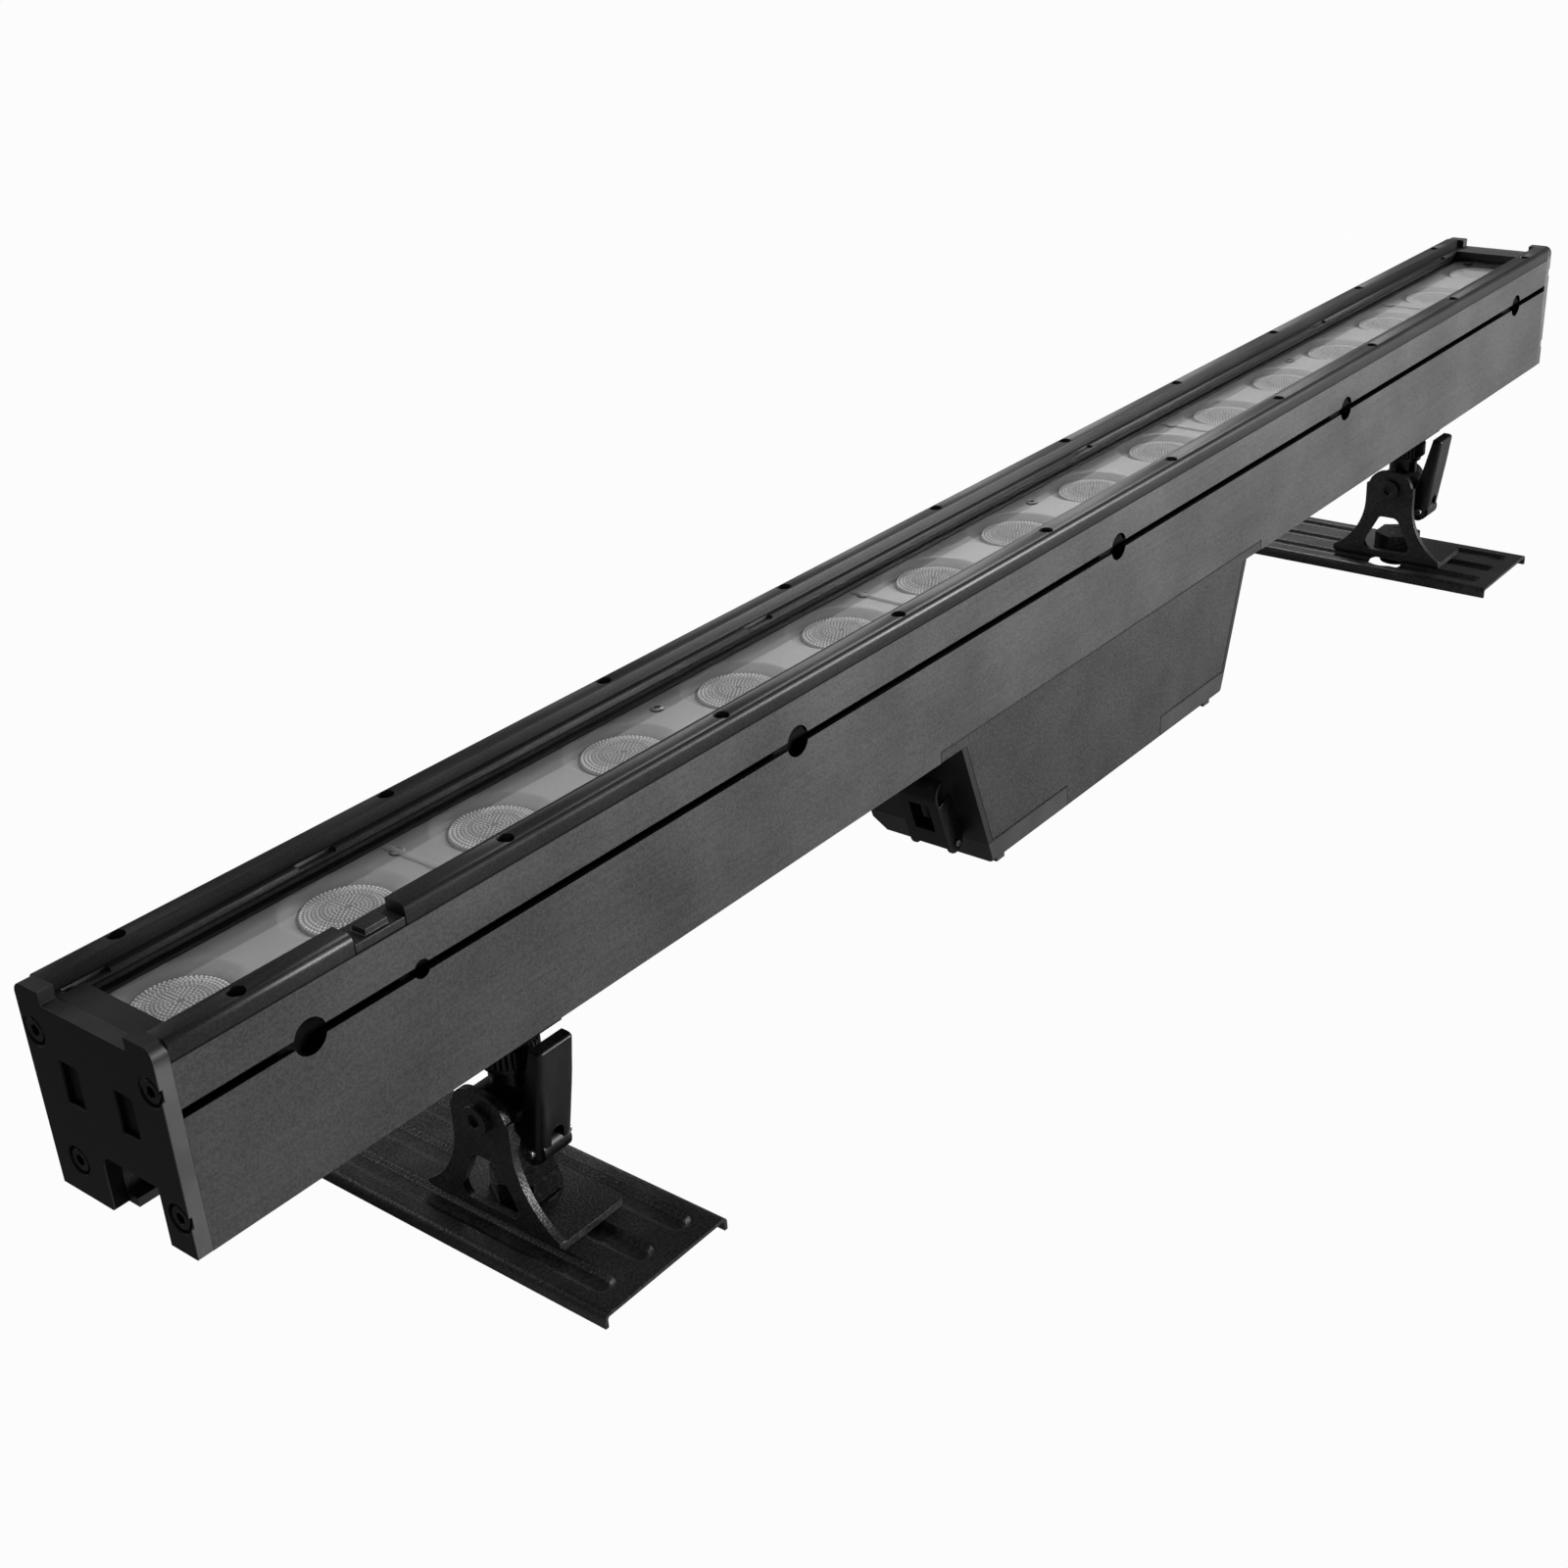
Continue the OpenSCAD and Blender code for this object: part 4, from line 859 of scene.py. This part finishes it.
def build_box():
    """Driver box with its latches and panel sockets."""
    eased("driver_case", "box_paint", 0.35 * MM)
    for side in ("left", "right"):
        eased("driver_end_" + side, "box_end_paint", 0.4 * MM)
        eased("latch_" + side, "latch_steel", 0.25 * MM)
    eased("latch_pins", "zinc_steel", 0.3 * MM)
    eased("power_socket", "socket_plastic", 0.4 * MM)
    eased("signal_socket", "socket_plastic", 0.4 * MM)


# ---------------------------------------------------------------- feet

def carve(target, cutter):
    """Cuts cutter out of target and throws cutter away."""
    cut = target.modifiers.new("cut", "BOOLEAN")
    cut.operation = "DIFFERENCE"
    cut.solver = "EXACT"
    cut.object = cutter
    graph = bpy.context.evaluated_depsgraph_get()
    result = bpy.data.meshes.new_from_object(target.evaluated_get(graph))
    target.modifiers.clear()
    old = target.data
    target.data = result
    bpy.data.meshes.remove(old)
    bpy.data.objects.remove(cutter)


def loose(name, bm):
    """An unshown working solid."""
    bmesh.ops.recalc_face_normals(bm, faces=bm.faces)
    mesh = bpy.data.meshes.new(name)
    bm.to_mesh(mesh)
    bm.free()
    made = bpy.data.objects.new(name, mesh)
    scene.collection.objects.link(made)
    return made


def groove_depth(x, y, reach):
    """Depth share of a pressed groove at x from its middle line, y from the plate's middle."""
    away = math.hypot(x, max(0.0, abs(y) - reach))
    t = min(1.0, max(0.0, (away - GROOVE_FLOOR) / GROOVE_FLANK))
    return 1 - t * t * (3 - 2 * t)


def plate_profile(half, top):
    """Outer skin across a plate, as (x, z): lip, bend, flat top, and the same mirrored."""
    across = [(-half, i * (top - PLATE_LIP) / 3) for i in range(4)]
    for i in range(1, 7):
        turn = i / 6 * math.pi / 2
        across.append((-half + PLATE_LIP - PLATE_LIP * math.cos(turn),
                       top - PLATE_LIP + PLATE_LIP * math.sin(turn)))
    span = half - PLATE_LIP
    across += [(-span + 2 * span * i / 140, top) for i in range(1, 140)]
    return across + [(-x, z) for x, z in reversed(across[:10])]


def inner_skin(x, z, steps, half, top):
    """The point under (x, z) of the outer skin, which is steps away from the nearer lip."""
    if steps <= 3:
        return math.copysign(half - PLATE_SHEET, x), z
    if steps < 10:
        bend_x = math.copysign(half - PLATE_LIP, x)
        bend_z = top - PLATE_LIP
        share = (PLATE_LIP - PLATE_SHEET) / PLATE_LIP
        return bend_x + (x - bend_x) * share, bend_z + (z - bend_z) * share
    return x, z - PLATE_SHEET


def pressed_plate(side):
    """Sheet steel floor plate: folded long edges, three pressed grooves and its bores."""
    node = side + "_floor_plate"
    low, high, mid = size_of(node)
    half = (high.x - low.x) / 2
    half_length = (high.y - low.y) / 2
    reach = half_length - PRESS_INSET
    across = plate_profile(half, high.z)
    # Rows lie closer together at the ends, where the grooves are rounded
    along = [i * 6 * MM for i in range(-10, 11)]
    along += [s * (62 + 0.75 * i) * MM for s in (-1, 1) for i in range(1, 20)]
    along += [low.y - mid.y, high.y - mid.y]
    along = sorted(set(round(y, 7) for y in along if abs(y) <= half_length + 1e-7))
    bm = bmesh.new()
    skins = []
    for inner in (False, True):
        grid = []
        for y in along:
            line = []
            for n, (x, z) in enumerate(across):
                if inner:
                    x, z = inner_skin(x, z, min(n, len(across) - 1 - n), half, high.z)
                if abs(x) < half - PLATE_LIP:
                    z -= PRESS_DEPTH * max(
                        groove_depth(x - b * PRESS_PITCH, y, reach) for b in (-1, 0, 1))
                line.append(bm.verts.new((mid.x + x, mid.y + y, z)))
            grid.append(line)
        skins.append(grid)
    for grid in skins:
        for a, b in zip(grid, grid[1:]):
            for i in range(len(a) - 1):
                bm.faces.new((a[i], a[i + 1], b[i + 1], b[i]))
    upper, lower = skins
    for end in (0, -1):
        for i in range(len(across) - 1):
            bm.faces.new((upper[end][i], upper[end][i + 1], lower[end][i + 1], lower[end][i]))
    for j in range(len(along) - 1):
        for n in (0, -1):
            bm.faces.new((upper[j][n], upper[j + 1][n], lower[j + 1][n], lower[j][n]))
    plate = finish_piece(node + "_pressed", bm, "black_steel", side + "_plate", [node], 40)
    bores = [(mid.x, SWIVEL_BORE_R)]
    if side == "right":
        bores.append((mid.x - FIXING_OFFSET, FIXING_R))
    holes = bmesh.new()
    for x, radius in bores:
        turned(holes, (x, FOOT_Y), [(radius, -2 * MM), (radius, 12 * MM)], 64)
    carve(plate, loose("plate_holes", holes))
    plate.data.shade_smooth()
    plate.data.set_sharp_from_angle(angle=math.radians(40))


def lever_front(h):
    """Y of the lever's web at height h over the pin, in mm from the pin."""
    front = WEB_FRONT - h * math.tan(math.radians(LEVER_LEAN))
    if h < 0:
        front = max(front, -math.sqrt(FOOT_ROUND ** 2 - h * h))
    if h > ROLL_START:
        front += ROLL_R - math.sqrt(max(0.0, ROLL_R ** 2 - (h - ROLL_START) ** 2))
    return front


def lever_line(h, inset, points):
    """Half outline of the lever at height h, from the cheek's rear to the web's middle."""
    front = lever_front(h)
    if h < 0:
        rear = math.sqrt(FOOT_ROUND ** 2 - h * h)
    else:
        rear = FOOT_ROUND - (FOOT_ROUND - REAR_AT_TOP) * h / LEVER_TOP
    rear = max(rear, front + 1.0 + min(2.8, 0.5 * (h + FOOT_ROUND)))
    # The fold's radius r shrinks upwards, and half the width w shrinks in the rolled top
    r = max(0.2, min(1.6 + 2.2 * max(0.0, 1 - max(h, 0) / 26), rear - front - 0.2) - inset)
    w = LEVER_HALF_WIDTH - inset
    if h > ROLL_START:
        w -= 0.4 * ((h - ROLL_START) / ROLL_R) ** 2
    f = front + inset
    # Half the width that is open in the web: slot over the pin, wider below the pin
    if h > WINDOW_TOP:
        gap = 0.0
    elif h > WINDOW_MIDDLE:
        gap = math.sqrt(max(0.0, WINDOW_R ** 2 - (h - WINDOW_MIDDLE) ** 2))
    else:
        gap = WINDOW_R if h > 0 else CHEEK_GAP
    path = [(-w, rear), (-w, f + r)]
    for i in range(1, 9):
        turn = i / 8 * math.pi / 2
        path.append((-w + r - r * math.cos(turn), f + r - r * math.sin(turn)))
    path.append((0.0, f))
    kept = [path[0]]
    for a, b in zip(path, path[1:]):
        if b[0] > -gap:
            share = 0 if b[0] == a[0] else (-gap - a[0]) / (b[0] - a[0])
            kept.append((-gap, a[1] + (b[1] - a[1]) * max(0.0, min(1.0, share))))
            break
        kept.append(b)
    lengths = [math.dist(a, b) for a, b in zip(kept, kept[1:])]
    line = []
    for i in range(points):
        want = sum(lengths) * i / (points - 1)
        for (a, b), length in zip(zip(kept, kept[1:]), lengths):
            if want <= length + 1e-9 or b is kept[-1]:
                share = min(1.0, want / max(length, 1e-9))
                line.append((a[0] + (b[0] - a[0]) * share, a[1] + (b[1] - a[1]) * share))
                break
            want -= length
    return line


def folded_lever(side):
    """Lock lever: two cheeks and a leaning front web folded from one sheet, top rolled back."""
    node = side + "_lock_lever"
    mid = size_of(node)[2]
    pin_y, pin_z = LEVER_PIN[0] * MM, LEVER_PIN[1] * MM
    levels = [
        -5.4, -5.0, -4.3, -3.4, -2.2, -0.8, 0.0, 0.05, 1, 2.4, 4, WINDOW_MIDDLE, 6.4, 7.2, 7.8,
        8.2, WINDOW_TOP, 8.5, 10, 12, 14, 16, 19, 23, 27, 31, 35, 38, 40, ROLL_START, 42, 42.4,
        42.7, 42.9, LEVER_TOP]
    points = 26
    bm = bmesh.new()
    for mirror in (1, -1):
        skins = []
        for inset in (0.0, LEVER_SHEET):
            rows = []
            for h in levels:
                # The inner skin ends lower, so that the top has its sheet's thickness
                level = 38 + (h - 38) * 0.7 if inset and h > 38 else h
                line = lever_line(level, inset, points)
                rows.append([bm.verts.new((mid.x + mirror * x * MM, pin_y + y * MM,
                                           pin_z + level * MM)) for x, y in line])
            skins.append(rows)
            for a, b in zip(rows, rows[1:]):
                for i in range(points - 1):
                    bm.faces.new((a[i], a[i + 1], b[i + 1], b[i]))
        outer, inner = skins
        for k in range(len(levels) - 1):
            bm.faces.new((outer[k][0], outer[k + 1][0], inner[k + 1][0], inner[k][0]))
            if levels[k] <= WINDOW_TOP:
                bm.faces.new((outer[k][-1], outer[k + 1][-1], inner[k + 1][-1], inner[k][-1]))
        for i in range(points - 1):
            bm.faces.new((outer[0][i], outer[0][i + 1], inner[0][i + 1], inner[0][i]))
        # The rolled top closes the lever over its whole depth
        for rows in skins:
            last = rows[-1]
            rim = bm.verts.new((mid.x, last[0].co.y, last[0].co.z))
            bm.faces.new(last + [rim])
        bm.faces.new((outer[-1][0], inner[-1][0], bm.verts.new((mid.x, *inner[-1][0].co.yz)),
                      bm.verts.new((mid.x, *outer[-1][0].co.yz))))
    bmesh.ops.remove_doubles(bm, verts=bm.verts, dist=2e-6)
    finish_piece(node + "_folded", bm, "latch_steel", side + "_lever", [node], 45)


def knurled_wheel(side):
    """Thumb wheel with straight knurling, chamfered rims and its hub."""
    node = side + "_knurled_wheel"
    low, high, mid = size_of(node)
    count, teeth = 288, 36
    centre = (mid.x, mid.y)
    bore, face, rim, grip, hub = (r * MM for r in (4.05, 9.6, 10.6, 11.5, 7.0))
    chamfer, height = 0.8 * MM, 8 * MM
    bm = bmesh.new()

    def toothed(radius, depth, z):
        """A ring with rounded teeth and narrow grooves of this depth between them."""
        made = []
        for i in range(count):
            turn = 2 * math.pi * i / count
            wave = 0.5 + 0.5 * math.cos(teeth * turn)
            r = radius - depth * (1 - min(1.0, wave * 2.2))
            made.append(bm.verts.new((centre[0] + r * math.cos(turn),
                                      centre[1] + r * math.sin(turn), z)))
        return made

    z0, z1 = low.z, low.z + height
    rings = [
        ring(bm, centre, bore, z0, count), ring(bm, centre, face, z0, count),
        toothed(rim, 0.2 * MM, z0), toothed(grip, 0.75 * MM, z0 + chamfer),
        toothed(grip, 0.75 * MM, z1 - chamfer), toothed(rim, 0.2 * MM, z1),
        ring(bm, centre, face, z1, count), ring(bm, centre, hub, z1, count),
        ring(bm, centre, hub, high.z - 0.3 * MM, count),
        ring(bm, centre, hub - 0.3 * MM, high.z, count), ring(bm, centre, bore, high.z, count)]
    for lower, upper in zip(rings, rings[1:]):
        band(bm, lower, upper)
    band(bm, rings[-1], rings[0])
    finish_piece(node + "_turned", bm, "clamp_alloy", side + "_wheel", [node], 30)


def build_feet():
    """Floor plates, brackets, clamps, wheels and levers."""
    near = 1e-5             # a vertex lies on a fold's line within this distance
    for side in ("left", "right"):
        pressed_plate(side)
        folded_lever(side)
        knurled_wheel(side)
        low = size_of(side + "_tilt_bracket")[0]

        def outer_fold(edge, low=low):
            return all(v.co.x < low.x + near and v.co.z < low.z + near for v in edge.verts)

        def inner_fold(edge, low=low):
            return all(abs(v.co.x - low.x - BRACKET_SHEET) < near
                       and abs(v.co.z - low.z - BRACKET_SHEET) < near for v in edge.verts)

        eased(side + "_tilt_bracket", "black_steel", 0.35 * MM,
              folds=[(outer_fold, 2.2 * MM), (inner_fold, 1.0 * MM)])
        eased(side + "_tilt_bolt", "black_steel", 0.5 * MM)
        eased(side + "_swivel_bolt", "dark_screws", 0.5 * MM)
        eased(side + "_swivel_nut", "dark_screws", 0.6 * MM)
        eased(side + "_clamp_slider", "clamp_alloy", 0.3 * MM)
        eased(side + "_clamp_plate", "clamp_alloy", 0.5 * MM)
        eased(side + "_clamp_hinge", "clamp_alloy", 0.8 * MM)
        eased(side + "_lever_pin", "zinc_steel", 0.4 * MM)


# ---------------------------------------------------------------- studio

def build_studio():
    """Pale floor that shows white, large soft lamps, and a plain world."""
    bm = bmesh.new()
    corners = [bm.verts.new((x, y, -0.0002)) for x, y in ((-9, -9), (9, -9), (9, 9), (-9, 9))]
    bm.faces.new(corners)
    mesh = bpy.data.meshes.new("floor")
    bm.to_mesh(mesh)
    bm.free()
    floor = bpy.data.objects.new("floor", mesh)
    scene.collection.objects.link(floor)

    f = Finish("studio_floor")
    seen = f.node("LightPath", out="Is Camera Ray")
    front = f.between(f.node("SeparateXYZ", {}, {0: f.place()}, out="Y"), 0.02, -0.12)
    seen = seen.highest(f.node("LightPath", out="Is Glossy Ray") * front * 0.3)
    seen = seen.highest(f.node("LightPath", out="Is Transmission Ray"))
    paper = f.node("BsdfDiffuse", {}, {"Color": grey(0.25)})
    white = f.node("Emission", {}, {"Color": grey(1.0), "Strength": 1.0})
    mesh.materials.append(f.show(f.node("MixShader", {}, {0: seen * 0.97, 1: paper, 2: white})))

    world = bpy.data.worlds.new("studio")
    scene.world = world
    world.use_nodes = True
    w = Finish("studio", world.node_tree)
    seen = w.node("LightPath", out="Is Camera Ray")
    seen = seen.highest(w.node("LightPath", out="Is Transmission Ray"))
    seen = seen.highest(w.node("LightPath", out="Is Glossy Ray") * 0.03)
    strength = seen * 0.9 + 0.1
    sky = w.node("Background", {}, {"Color": grey(1.0), "Strength": strength})
    w.node("OutputWorld", {}, {"Surface": sky})

    scene.view_settings.view_transform = "Standard"
    for lamp in LAMPS:
        softbox(*lamp)


place_camera()
build_studio()
build_bar()
build_lenses()
build_tray()
build_tray_screws()
build_box()
build_feet()
